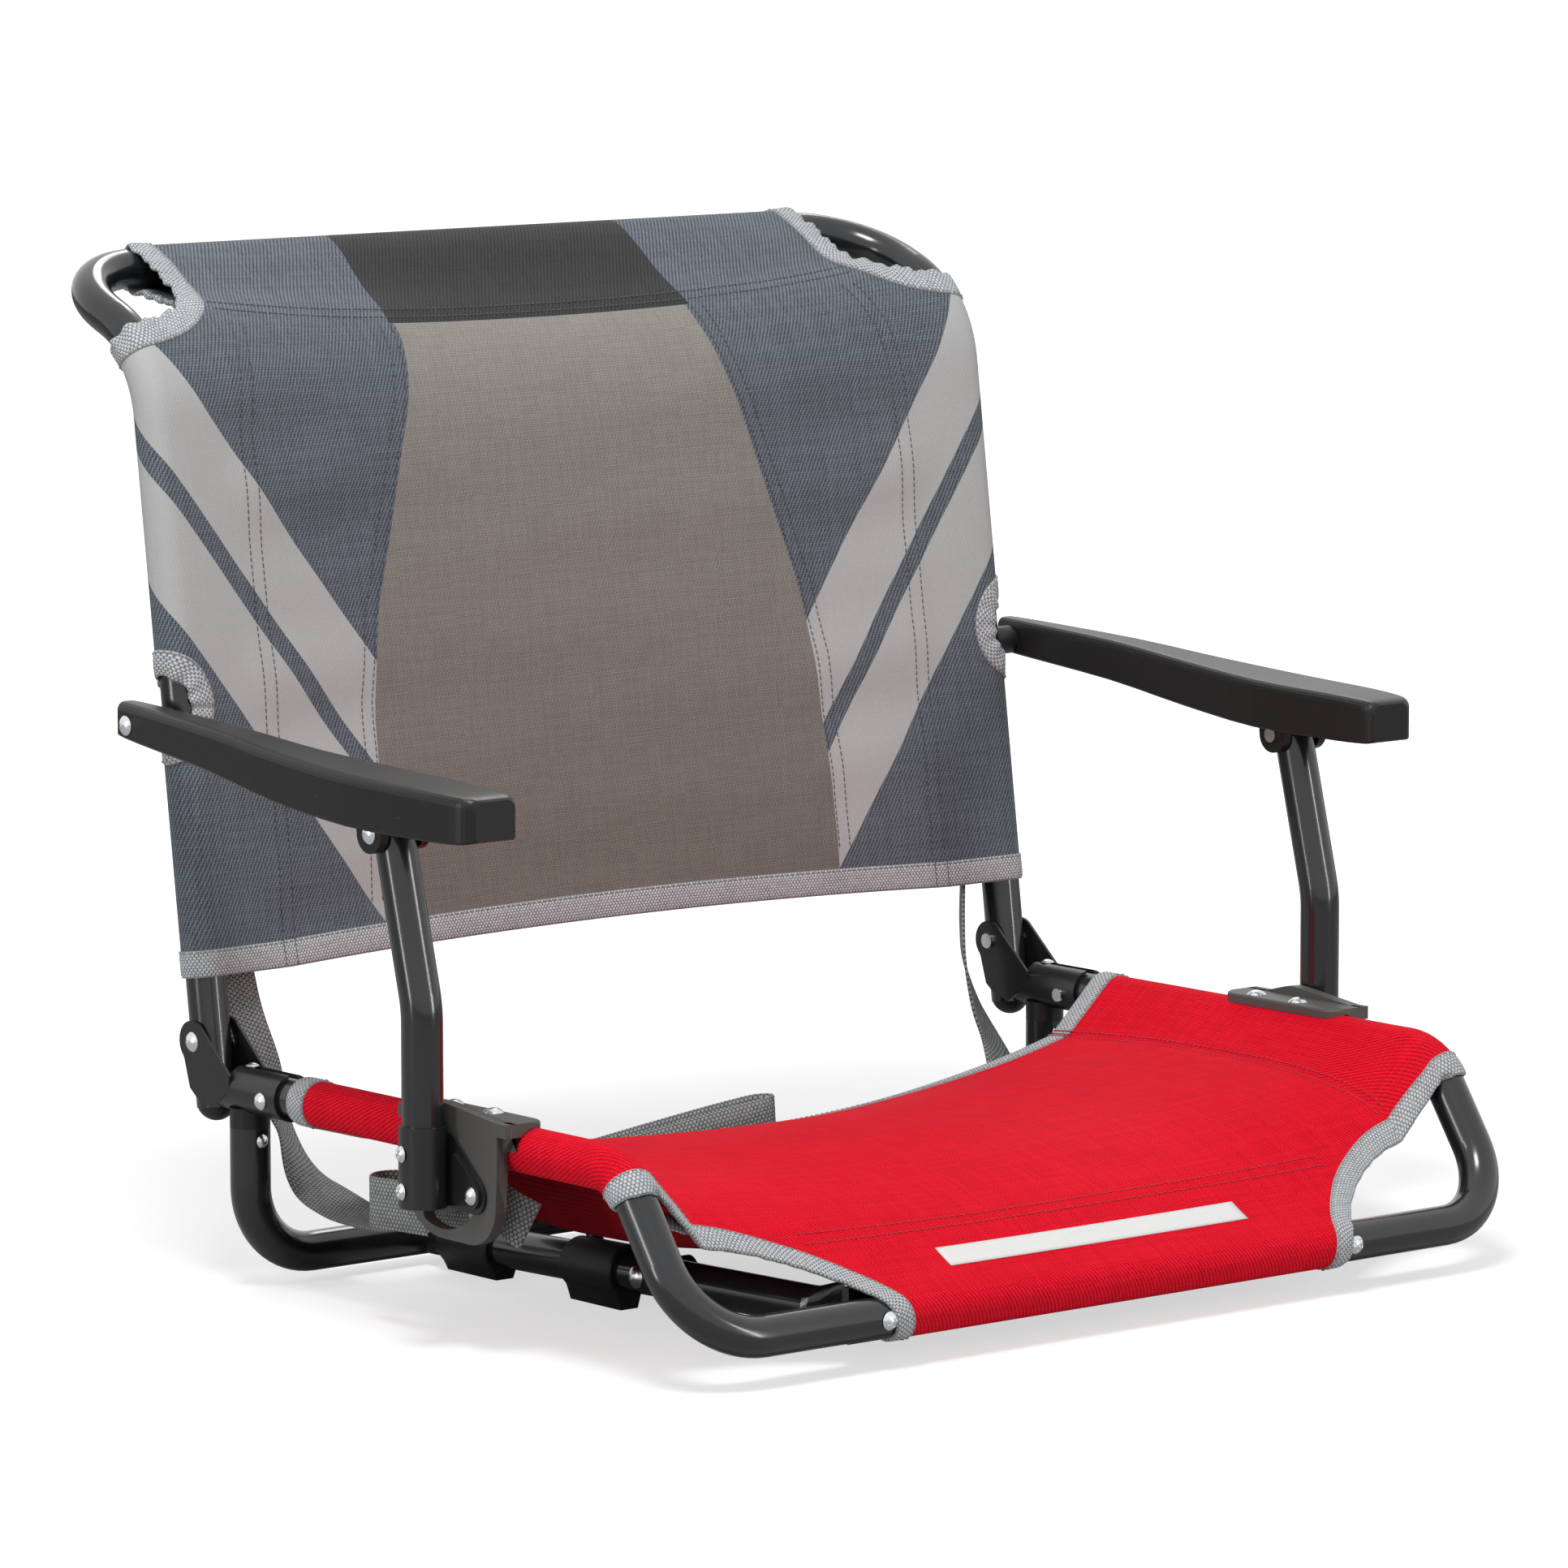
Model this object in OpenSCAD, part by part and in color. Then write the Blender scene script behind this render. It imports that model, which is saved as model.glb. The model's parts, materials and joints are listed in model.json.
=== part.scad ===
// Bleacher chair: a low folding seat for a bench, with a sling seat, a sling back that folds
// forward, and armrests that fold with it as a parallelogram linkage.
// Origin on the surface it rests on, in the middle of its outline. +X is the sitter's left,
// -Y is the front, +Z is up. Millimetres.

/* [Tube] */
// Outside diameter of every frame tube
tube_d = 20; // [18:0.5:21]
// Wall of the frame tubes
tube_wall = 1.2; // [1:0.1:1.6]
// Distance between the axes of the left and right side tubes
frame_w = 520; // [480:2:560]

/* [Back] */
// Height of the back's hinge axis above the surface
hinge_z = 120; // [116:1:126]
// Lean of the back posts behind the vertical, in degrees
back_lean = 7.7; // [4:0.1:12]
// Length of a back post from the hinge axis to its bend
post_rise = 342; // [320:1:380]
// Length of a back post below the hinge axis, without its cap
post_tail = 33; // [30:0.5:38]
// Lean of the rolled top behind the vertical, in degrees
roll_lean = 67.8; // [55:0.2:75]
// Length of the rolled top from the bend to the top tube
roll_len = 87.5; // [84:0.5:110]
// Radius of the bend below the rolled top
roll_r = 57; // [45:1:62]
// Radius of the two top corners
top_r = 47; // [40:1:50]
// Length of a post's domed cap
cap_h = 7; // [5:0.5:10]

/* [Seat frame] */
// Drop from the hinge axis to the side rails' axis
rail_drop = 20.5; // [20:0.1:24]
// Distance from the hinge axis forward to the rails' rear ends
rail_start = 28; // [26:0.5:34]
// Distance from the hinge axis forward to the rails' bends
rail_bend = 327; // [310:1:345]
// Distance from the hinge axis forward to the front rail's axis
seat_depth = 379; // [370:1:395]
// Height of the front rail's axis above the surface
front_z = 24.2; // [22:0.2:30]
// Radius of the bends in the side rails
bend_r = 33; // [26:1:36]
// Radius of the front corners
front_r = 41; // [34:1:46]

/* [Base] */
// Distance from the hinge axis forward to the legs' axes
leg_y = 32; // [30:0.5:40]
// Height of the rear cross tube's axis above the surface
cross_z = 14.4; // [13:0.2:18]
// Radius of the base tube's corners
base_r = 36.6; // [30:0.2:45]
// Height of the bush between a leg and its bracket
collar_h = 7; // [5:0.5:10]
// Distance between the axes of the two lower tubes
lower_w = 300; // [280:2:330]
// Height of a lower tube's flattened end
tab_h = 27; // [24:0.5:29]
// Thickness of a lower tube's flattened end
tab_t = 4.8; // [3:0.2:6]
// Wall of the plastic saddles
saddle_wall = 5; // [4:0.2:6]
// Length of each saddle
saddle_len = 40; // [30:1:46]
// Distance from the hinge axis forward to the rear saddles' middles
saddle_y1 = 74; // [70:1:90]
// Distance from the hinge axis forward to the front saddles' middles
saddle_y2 = 173; // [150:1:178]

/* [Arms] */
// Height of the armrests' rear pivots above the hinge axis
arm_pivot_z = 157; // [150:1:170]
// Distance from the hinge axis forward to the arm posts' lower pivots
post_pivot_y = 212; // [205:1:220]
// Drop from the hinge axis to the arm posts' lower pivots
post_pivot_drop = 30; // [28:0.5:34]
// Height of the arm posts' bends above their lower pivots
arm_bend_h = 75; // [60:1:90]
// Radius of the arm posts' bends
arm_bend_r = 60; // [40:1:80]
// Wall of the moulded armrests
arm_wall = 3; // [2.4:0.2:3.6]
// Thickness of the lugs under an armrest
lug_t = 4.6; // [4:0.2:5]
// Distance from an arm post's pivot to its slot stud, to the front
stud_y = 25.5; // [24:0.5:28]
// Drop from an arm post's pivot to its slot stud
stud_drop = 12.5; // [11:0.5:14]
// Angle that the back folds through, in degrees
fold_angle = 88; // [80:1:88]

/* [Pressed and moulded parts] */
// Thickness of the pressed steel brackets
sheet_t = 1.5; // [1.2:0.1:1.8]
// Length of the bracket's sleeve on the rail
sleeve_len = 40; // [34:1:46]
// Radius of the bracket's ears
ear_r = 10.5; // [9:0.5:12]
// Thickness of the clamps' side plates
plate_t = 6.6; // [6:0.1:7]
// Distance from the hinge axis forward to the clamps' rear ends
clamp_start = 177; // [172:1:182]
// Length of the clamps along the rail
clamp_len = 84; // [78:1:88]
// Distance from a clamp's rear end to its first rivet
clamp_rivet = 20; // [14:1:24]
// Distance between a clamp's two rivets
rivet_pitch = 31; // [26:1:40]
// Thickness of the clamps' top flange over the rail
flange_t = 4.5; // [4:0.1:5]
// Radius of the clamps' lower corners
clamp_r = 20; // [16:1:22]
// Height of the post brackets
wrap_h = 38; // [34:1:42]

/* [Fasteners] */
// Diameter of the hinge pins and pivot pins
pin_d = 8; // [7:0.5:9]
// Diameter of the smaller rivets and the armrest rivets
rivet_d = 6; // [5:0.5:7]
// Diameter of the screws
screw_d = 4.5; // [4:0.5:5]
// Height of the fasteners' heads
head_h = 2.3; // [1.8:0.1:2.6]

/* [Cloth] */
// Thickness of the woven cloth
cloth_t = 1.2; // [1:0.1:1.5]
// Sag of the back between its posts
back_sag = 10; // [4:1:16]
// Distance from the sleeves' front down to the back's side seams
seam_in = 3; // [2:0.5:5]
// Distance from the hinge axis forward to the seat cloth's rear edge
seat_rear = 78; // [74:1:84]
// Drop of the seat's middle below the rails' axis, where it is least
seat_dip = 23; // [20:0.5:26]
// Drop of the seat's side seams below the rails' axis, where it is least
seat_side_dip = 12; // [10:0.5:14]
// Half the width of the seat's cloth on the front rail
front_half = 129; // [120:1:136]
// Distance from a rail's axis to the seam of its sleeve
seam_w = 35; // [32:1:42]
// Distance from a back post's axis to the seam of its sleeve
back_seam = 45; // [40:1:60]
// Distance along the posts from the hinge axis to the hem of the back
hem_h = 31.5; // [30:0.5:40]
// Distance along the posts to the lower edge of the gap for the armrest's pivot
arm_gap_low = 148; // [136:1:149]
// Distance along the posts to the upper edge of the gap for the armrest's pivot
arm_gap_high = 181; // [174:1:204]
// Distance along the posts to the top of their sleeves
sleeve_top = 345; // [330:1:352]

/* [Hook] */
// Distance from the hinge axis forward to the bench hook's rivets
hook_start = 210; // [200:1:216]
// Diameter of the bench hook's rod
hook_d = 8; // [7:0.5:9]
// Length of the bench hook's arms
hook_arm = 70; // [60:1:80]
// Length of the bench hook's turned-up end
hook_lip = 28; // [20:1:30]
// Radius of the bench hook's bends
hook_bend = 12; // [10:1:13]

/* [Fits] */
// Radial clearance of a pin that turns
running = 0.05; // [0.03:0.01:0.1]
// Gap between flat faces that slide past each other
slide_gap = 0.3; // [0.2:0.05:0.4]
// Clearance where one piece sits round another or against it
fit_gap = 0.1; // [0.05:0.01:0.12]
// Clearance between a tube and the cloth round it
cloth_gap = 0.25; // [0.2:0.05:0.4]

/* [Hidden] */
$fn = 48;

steel = "#33363a";
satin = "#26282b";
plastic = "#4a4b4a";
zinc = "#c9cdd2";
red = "#cf2027";
grey = "#7d8186";

tube_r = tube_d / 2;
bore_r = tube_r - tube_wall;
side_x = frame_w / 2;
lower_x = lower_w / 2;
sleeve_r = tube_r + cloth_gap + cloth_t / 2;
cloth_out = sleeve_r + cloth_t / 2;
// Where a clamp's side plate stands, and the plane of the armrest outside it
plate_x = side_x + cloth_out + 2 * fit_gap;
arm_x = plate_x + plate_t + slide_gap / 2 + sheet_t + fit_gap + tube_r;
eps = 0.01;
// How far a cutting tool runs on both sides of what it cuts
cut = 2 * tube_d;

// Where the hinge axis lies, so that the origin is in the middle of the outline
top_y = post_rise * sin(back_lean) + roll_len * sin(roll_lean);
top_z = hinge_z + post_rise * cos(back_lean) + roll_len * cos(roll_lean);
hinge_y = (seat_depth + tube_r + head_h - top_y - cloth_out) / 2;

rail_z = hinge_z - rail_drop;
bend_y = hinge_y - rail_bend;
front_y = hinge_y - seat_depth;
cross_y = hinge_y - leg_y;
pivot_y = hinge_y - post_pivot_y;
pivot_z = hinge_z - post_pivot_drop;

// The back post's line, and where the armrest's rear pivot lies on it
function post_y(h) = hinge_y + h * tan(back_lean);
arm_back_y = post_y(arm_pivot_z);
arm_back_z = hinge_z + arm_pivot_z;
// The linkage is a parallelogram: the post's top pivot follows from the other three
arm_front_y = arm_back_y - post_pivot_y;
arm_front_z = arm_back_z - post_pivot_drop;

// Vector helpers
function unit(v) = v / norm(v);
function turn(u, v) = acos(max(-1, min(1, u * v)));
function bend_tangent(a, b, c, r) = r * tan(turn(unit(b - a), unit(c - b)) / 2);
function frame_of(x, y, z, o) = [
    [x[0], y[0], z[0], o[0]],
    [x[1], y[1], z[1], o[1]],
    [x[2], y[2], z[2], o[2]],
    [0, 0, 0, 1]
];
function any_normal(d) = abs(d[0]) > 0.9 ? [0, 1, 0] : [1, 0, 0];

// A round bar from a to b
module bar(a, b, r) {
    d = unit(b - a);
    x = unit(cross(any_normal(d), d));
    multmatrix(frame_of(x, cross(d, x), d, a))
        cylinder(r = r, h = norm(b - a));
}

// The bend at b of a bar that comes from a and goes on to c, with bore radius in, or 0
module elbow(a, b, c, bend, r, in) {
    u = unit(b - a);
    v = unit(c - b);
    angle = turn(u, v);
    n = unit(v - u * cos(angle));
    start = b - u * bend * tan(angle / 2);
    multmatrix(frame_of(-n, u, cross(-n, u), start + n * bend))
        rotate_extrude(angle = angle, $fn = 96)
            translate([bend, 0])
                ring(r, in);
}
module ring(r, in) {
    difference() {
        circle(r = r);
        if (in > 0)
            circle(r = in);
    }
}

// How far a straight runs into a bend, and how much finer the bend is there
lap = 0.1;
skin = 0.01;

// A round bar or tube along points p, with bend radii b at the inner points
module bent_bar(p, b, r, in = 0) {
    last = len(p) - 1;
    for (i = [0 : last - 1]) {
        u = unit(p[i + 1] - p[i]);
        from = i == 0 ? 0 : bend_tangent(p[i - 1], p[i], p[i + 1], b[i - 1]);
        to = i == last - 1 ? 0 : bend_tangent(p[i], p[i + 1], p[i + 2], b[i]);
        straight(p[i] + u * (from - (i == 0 ? 0 : lap)),
            p[i + 1] - u * (to - (i == last - 1 ? 0 : lap)), r, in);
    }
    for (i = [1 : last - 1])
        elbow(p[i - 1], p[i], p[i + 1], b[i - 1], r - skin, in > 0 ? in + skin : 0);
}
module straight(a, b, r, in) {
    d = unit(b - a);
    x = unit(cross(any_normal(d), d));
    multmatrix(frame_of(x, cross(d, x), d, a))
        linear_extrude(height = norm(b - a))
            ring(r, in);
}

// A bent tube, open at both ends
module bent_tube(p, b) {
    bent_bar(p, b, tube_r, bore_r);
}

// A bar along X, and one along Y, given by the middle of one end
module bar_x(o, r, len) {
    translate(o)
        rotate([0, 90, 0])
            cylinder(r = r, h = len);
}
module bar_y(o, r, len) {
    translate(o)
        rotate([-90, 0, 0])
            cylinder(r = r, h = len);
}

// A flat shape drawn in Y and Z, with its thickness t along X from x
module plate_yz(x, t) {
    translate([x, 0, 0])
        rotate([90, 0, 90])
            linear_extrude(height = t)
                children();
}

// A domed head of radius r and height h, standing on its flat face
module dome(r, h) {
    ball = (r * r + h * h) / (2 * h);
    rotate_extrude()
        intersection() {
            translate([0, h - ball])
                circle(r = ball, $fn = 96);
            square([r, h]);
        }
}

// A rivet along X from x1 to x2, with a domed head beyond x2 and a flat ring head before x1
module rivet_x(x1, x2, y, z, r, head) {
    bar_x([x1, y, z], r, x2 - x1);
    translate([x2, y, z])
        rotate([0, 90, 0])
            dome(head, head_h);
    bar_x([x1 - head_h * 0.7, y, z], head * 0.8, head_h * 0.7);
}

// Smooth curve through stations, n steps to a span, each station a vector
function blend4(a, b, c, d, t) = 0.5 * ((2 * b) + (c - a) * t
    + (2 * a - 5 * b + 4 * c - d) * t * t + (3 * b - a - 3 * c + d) * t * t * t);
function smooth(p, n) = let (last = len(p) - 1) concat([for (i = [0 : last - 1], k = [0 : n - 1])
    blend4(p[max(i - 1, 0)], p[i], p[i + 1], p[min(i + 2, last)], k / n)], [p[last]]);

// A closed solid over rings of points, all rings with as many points
module loft(rings) {
    n = len(rings[0]);
    m = len(rings);
    polyhedron(
        points = [for (ring = rings, p = ring) p],
        faces = concat(
            [[for (i = [0 : n - 1]) i]],
            [for (j = [0 : m - 2], i = [0 : n - 1]) let (k = (i + 1) % n)
                [j * n + i, (j + 1) * n + i, (j + 1) * n + k]],
            [for (j = [0 : m - 2], i = [0 : n - 1]) let (k = (i + 1) % n)
                [j * n + i, (j + 1) * n + k, j * n + k]],
            [[for (i = [n - 1 : -1 : 0]) (m - 1) * n + i]]),
        convexity = 6);
}

// Cloth of thickness t over a grid of points
function grid_normal(g, j, i) = let (
    m = len(g) - 1, n = len(g[0]) - 1,
    along = g[min(j + 1, m)][i] - g[max(j - 1, 0)][i],
    across = g[j][min(i + 1, n)] - g[j][max(i - 1, 0)]
    ) unit(cross(across, along));
module cloth(g, t) {
    m = len(g);
    n = len(g[0]);
    face = [for (j = [0 : m - 1], i = [0 : n - 1]) g[j][i] - grid_normal(g, j, i) * t / 2];
    lining = [for (j = [0 : m - 1], i = [0 : n - 1]) g[j][i] + grid_normal(g, j, i) * t / 2];
    half = m * n;
    polyhedron(
        points = concat(face, lining),
        faces = concat(
            quads([for (j = [0 : m - 2], i = [0 : n - 2])
                [j * n + i, j * n + i + 1, (j + 1) * n + i + 1, (j + 1) * n + i]]),
            quads([for (j = [0 : m - 2], i = [0 : n - 2]) half * [1, 1, 1, 1]
                + [j * n + i, (j + 1) * n + i, (j + 1) * n + i + 1, j * n + i + 1]]),
            quads([for (i = [0 : n - 2], k = [0, (m - 1) * n]) let (a = k + i, b = k + i + 1)
                k == 0 ? [a, half + a, half + b, b] : [a, b, half + b, half + a]]),
            quads([for (j = [0 : m - 2], i = [0, n - 1]) let (a = j * n + i, b = a + n)
                i == 0 ? [a, b, half + b, half + a] : [a, half + a, half + b, b]])),
        convexity = 6);
}
function quads(q) = [for (f = q, half = [0, 1])
    half == 0 ? [f[0], f[1], f[2]] : [f[0], f[2], f[3]]];

// Places one side's part on the sitter's left, or mirrors it to the right
module on_side(left) {
    if (left) children();
    else mirror([1, 0, 0]) children();
}
module on_both() {
    on_side(true) children();
    on_side(false) children();
}

// Seat frame
rail_end = [side_x, hinge_y - rail_start, rail_z];
rail_corner = [side_x, bend_y, rail_z];
front_corner = [side_x, front_y, front_z];
rivet_y = hinge_y - 56.5;
rivet_z = rail_z - 1.8;
top_screw_y = hinge_y - 34;
clamp_back = hinge_y - clamp_start;
clamp_rivet_ys = [clamp_back - clamp_rivet, clamp_back - clamp_rivet - rivet_pitch];

module seat_frame() {
    color(steel)
    difference() {
        bent_tube([rail_end, rail_corner, front_corner, mirror_x(front_corner),
            mirror_x(rail_corner), mirror_x(rail_end)], [bend_r, front_r, front_r, bend_r]);
        on_both() {
            bar_x([side_x - 2 * tube_r, rivet_y, rivet_z], rivet_d / 2 + running, 4 * tube_r);
            translate([side_x, top_screw_y, rail_z])
                cylinder(r = screw_d / 2 + running, h = 2 * tube_r);
            for (y = clamp_rivet_ys)
                translate([side_x, y, rail_z])
                    cylinder(r = rivet_d / 2 + running, h = 2 * tube_r);
            bar_y([lower_x, front_y - 2 * tube_r, front_z], screw_d / 2 + running, 4 * tube_r);
        }
    }
}
function mirror_x(p) = [-p[0], p[1], p[2]];

// Base frame
sleeve_in = tube_r + slide_gap;
sleeve_out = sleeve_in + sheet_t;
leg_top = rail_z - sleeve_out - collar_h;
collar_screw_z = leg_top - 6;

module base_frame() {
    top = [side_x, cross_y, leg_top];
    low = [side_x, cross_y, cross_z];
    color(steel)
    difference() {
        bent_tube([top, low, mirror_x(low), mirror_x(top)], [base_r, base_r]);
        on_both()
            bar_y([side_x, cross_y - 2 * tube_r, collar_screw_z], screw_d / 2 + running, 2 * tube_r);
    }
}

module leg_collars() {
    color(plastic)
    on_both()
        difference() {
            union() {
                translate([side_x, cross_y, leg_top])
                    cylinder(r = tube_r, h = collar_h + 3);
                translate([side_x, cross_y, leg_top - 12])
                    cylinder(r = bore_r - 0.1, h = 12 + eps);
            }
            bar_y([side_x, cross_y - 2 * tube_r, rail_z], sleeve_out + 0.05, 4 * tube_r);
            bar_y([side_x, cross_y - 2 * tube_r, collar_screw_z], screw_d / 2 + running, 2 * tube_r);
        }
}

module collar_screws() {
    color(zinc)
    on_both() {
        bar_y([side_x, cross_y - tube_r - 0.2, collar_screw_z], screw_d / 2, tube_r);
        translate([side_x, cross_y - tube_r - 0.2, collar_screw_z])
            rotate([90, 0, 0])
                dome(screw_d * 0.75, 1.8);
    }
}

// Lower tubes
lower_rise = (front_z - cross_z) / (seat_depth - leg_y);
function lower_z(y) = cross_z + (cross_y - y) * lower_rise;
tab_y = front_y + tube_r + 0.1;
squeeze_len = 30;
hook_y = hinge_y - hook_start;
hook_z = lower_z(hook_y);

blade_shift = tab_t / 2 - tube_r - 1.4;

// A section of the lower tube's squeezed end: 0 is round, 1 is flat and moved sideways
function sign_pow(v, k) = sign(v) * pow(abs(v), k);
function squeezed(t, y) = [for (k = [0 : 23]) let (a = k * 15, e = 1 - 0.55 * t)
    [lower_x + blade_shift * t + ((tube_r - 0.1) * (1 - t) + tab_t / 2 * t) * sign_pow(cos(a), e),
     y,
     front_z * t + lower_z(y) * (1 - t)
        + ((tube_r - 0.1) * (1 - t) + tab_h / 2 * t) * sign_pow(sin(a), e)]];

module lower_tube() {
    squeeze_y = tab_y + tab_t + squeeze_len;
    tube_end = [lower_x, squeeze_y, lower_z(squeeze_y)];
    start = [lower_x, cross_y, cross_z];
    color(steel)
    difference() {
        union() {
            straight(tube_end, start, tube_r, bore_r);
            loft([for (k = [0 : 5]) squeezed(smoothstep(k / 5), squeeze_y + 0.6 - k * 4)]);
            translate([lower_x + blade_shift - tab_t / 2, tab_y, front_z - tab_h / 2])
                cube([tab_t, squeeze_len - 12, tab_h]);
            translate([lower_x + blade_shift - tab_t / 2, tab_y, front_z - tab_h / 2])
                cube([tube_r * 2, tab_t, tab_h]);
        }
        bar_x([lower_x - cut, cross_y, cross_z], tube_r + fit_gap, 2 * cut);
        bar_y([lower_x, tab_y - 1, front_z], screw_d / 2 + running, tab_t + 2);
        bar_x([lower_x - 2 * tube_r, hook_y, hook_z], rivet_d / 2 + running, 4 * tube_r);
    }
}
function smoothstep(t) = t * t * (3 - 2 * t);
module lower_tube_left() { on_side(true) lower_tube(); }
module lower_tube_right() { on_side(false) lower_tube(); }

// Plastic saddles on the lower tubes, level underneath
module saddle(back) {
    mid = [lower_x, hinge_y - back, lower_z(hinge_y - back)];
    color(satin)
    intersection() {
        translate(mid)
            rotate([-atan(lower_rise), 0, 0])
                rotate([90, 0, 0])
                    difference() {
                        translate([0, 0, -saddle_len / 2])
                            linear_extrude(height = saddle_len)
                                union() {
                                    circle(r = tube_r + saddle_wall);
                                    translate([-tube_r * 0.9, -mid[2] - 2])
                                        square([tube_r * 1.8, mid[2] + 2]);
                                }
                        translate([0, 0, -saddle_len])
                            cylinder(r = tube_r + 0.1, h = 2 * saddle_len);
                        translate([-tube_r * 0.72, 0, -saddle_len])
                            cube([tube_r * 1.44, 2 * tube_d, 2 * saddle_len]);
                    }
        translate([lower_x - cut, mid[1] - cut, 0])
            cube(2 * cut);
    }
}
module bench_glides() {
    on_both()
        for (y = [saddle_y1, saddle_y2])
            saddle(y);
}

module hook_rivets() {
    color(zinc)
    on_both()
        rivet_x(lower_x - tube_r - saddle_wall - hook_d - 2.1, lower_x + tube_r + 0.1,
            hook_y, hook_z, rivet_d / 2, rivet_d * 0.9);
}

module front_screws() {
    color(zinc)
    on_both() {
        bar_y([lower_x, front_y - tube_r - 0.2, front_z], screw_d / 2, 2 * tube_r + tab_t + 6);
        translate([lower_x, front_y - tube_r - 0.2, front_z])
            rotate([90, 0, 0])
                dome(screw_d, head_h - 0.2);
    }
}

module front_nuts() {
    color(zinc)
    on_both()
        difference() {
            union() {
                bar_y([lower_x, tab_y + tab_t + 0.05, front_z], 5.5, 1);
                bar_y([lower_x, tab_y + tab_t + 1.05 - eps, front_z], 4.1, 3.4, $fn = 6);
            }
            bar_y([lower_x, tab_y, front_z], screw_d / 2 + running, 20);
        }
}

// Hinge bracket: two ears beside the post, and a sleeve round the rail
module ear_outline() {
    translate([hinge_y, hinge_z])
        circle(r = ear_r);
    polygon([
        [hinge_y - ear_r * 0.6, hinge_z + ear_r * 0.8],
        [hinge_y - 31, rail_z + 7.5],
        [hinge_y - 31, rail_z],
        [hinge_y - 15.5, rail_z - sleeve_out + 1.6],
        [hinge_y - 3.3, rail_z - 6.5],
        [hinge_y + 2, rail_z - 2.5],
        [hinge_y + 6.5, hinge_z - 9],
        [hinge_y + ear_r * 0.98, hinge_z - ear_r * 0.2]
    ]);
}

// Width of the open seam along the top of the bracket's sleeve
slot_w = 5;
module hinge_bracket() {
    back_edge = hinge_y - 15.5;
    front_edge = hinge_y - rail_start - sleeve_len;
    color(satin)
    difference() {
        union() {
            for (x = [sleeve_in, -sleeve_out])
                plate_yz(side_x + x, sheet_t)
                    ear_outline();
            difference() {
                bar_y([side_x, front_edge, rail_z], sleeve_out, back_edge - front_edge);
                bar_y([side_x, front_edge - 1, rail_z], sleeve_in, back_edge - front_edge + 2);
                translate([side_x - slot_w / 2, front_edge - 1, rail_z])
                    cube([slot_w, 2 * cut, cut]);
                translate([side_x - cut, hinge_y - rail_start, rail_z])
                    cube([2 * cut, 2 * cut, cut]);
            }
        }
        bar_x([side_x - cut, hinge_y, hinge_z], pin_d / 2 + 0.02, 2 * cut);
        bar_x([side_x - cut, rivet_y, rivet_z], rivet_d / 2 + running, 2 * cut);
        translate([side_x, top_screw_y, rail_z])
            cylinder(r = screw_d / 2 + running, h = cut);
    }
}
module hinge_bracket_left() { on_side(true) hinge_bracket(); }
module hinge_bracket_right() { on_side(false) hinge_bracket(); }

module hinge_rivets() {
    color(zinc)
    on_both()
        rivet_x(side_x - sleeve_out - 0.1, side_x + sleeve_out + 0.1, hinge_y, hinge_z,
            pin_d / 2, pin_d * 0.62);
}

module bracket_rivets() {
    color(zinc)
    on_both()
        rivet_x(side_x - sleeve_out - 0.1, side_x + sleeve_out + 0.1, rivet_y, rivet_z,
            rivet_d / 2, rivet_d * 0.72);
}

module bracket_screws() {
    color(zinc)
    on_both() {
        translate([side_x, top_screw_y, rail_z + bore_r - 2])
            cylinder(r = screw_d / 2, h = sleeve_out - bore_r + 2.1);
        translate([side_x, top_screw_y, rail_z + sleeve_out + 0.1])
            dome(screw_d * 0.8, 1.5);
    }
}

// Clamp on the rail that carries an arm post
stud_r = 3.5;
slot_r = norm([stud_y, stud_drop]);
slot_half = stud_r + slide_gap;
slot_start = 180 + atan(stud_drop / stud_y);

// A slot along an arc of radius r about the origin, in Y and Z
module arc_slot(r, half, from, to) {
    intersection() {
        difference() {
            circle(r = r + half, $fn = 96);
            circle(r = r - half, $fn = 96);
        }
        polygon(concat([[0, 0]], [for (k = [0 : 4])
            2 * r * [cos(from + (to - from) * k / 4), sin(from + (to - from) * k / 4)]]));
    }
    for (a = [from, to])
        translate(r * [cos(a), sin(a)])
            circle(r = half);
}

module clamp_plate_outline() {
    front = clamp_back - clamp_len;
    top = rail_z + tube_r + flange_t;
    hull() {
        translate([front + clamp_len / 12, top - tube_d * 1.25])
            square([clamp_len * 0.76, tube_d * 1.25]);
        translate([pivot_y - slot_r + clamp_r * 0.375, pivot_z - slot_r + clamp_r * 0.575])
            circle(r = clamp_r, $fn = 48);
        translate([pivot_y, pivot_z - 4])
            circle(r = slot_r + slot_half + 0.5, $fn = 64);
    }
    translate([front, top - plate_t])
        square([clamp_len, plate_t]);
}

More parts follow.
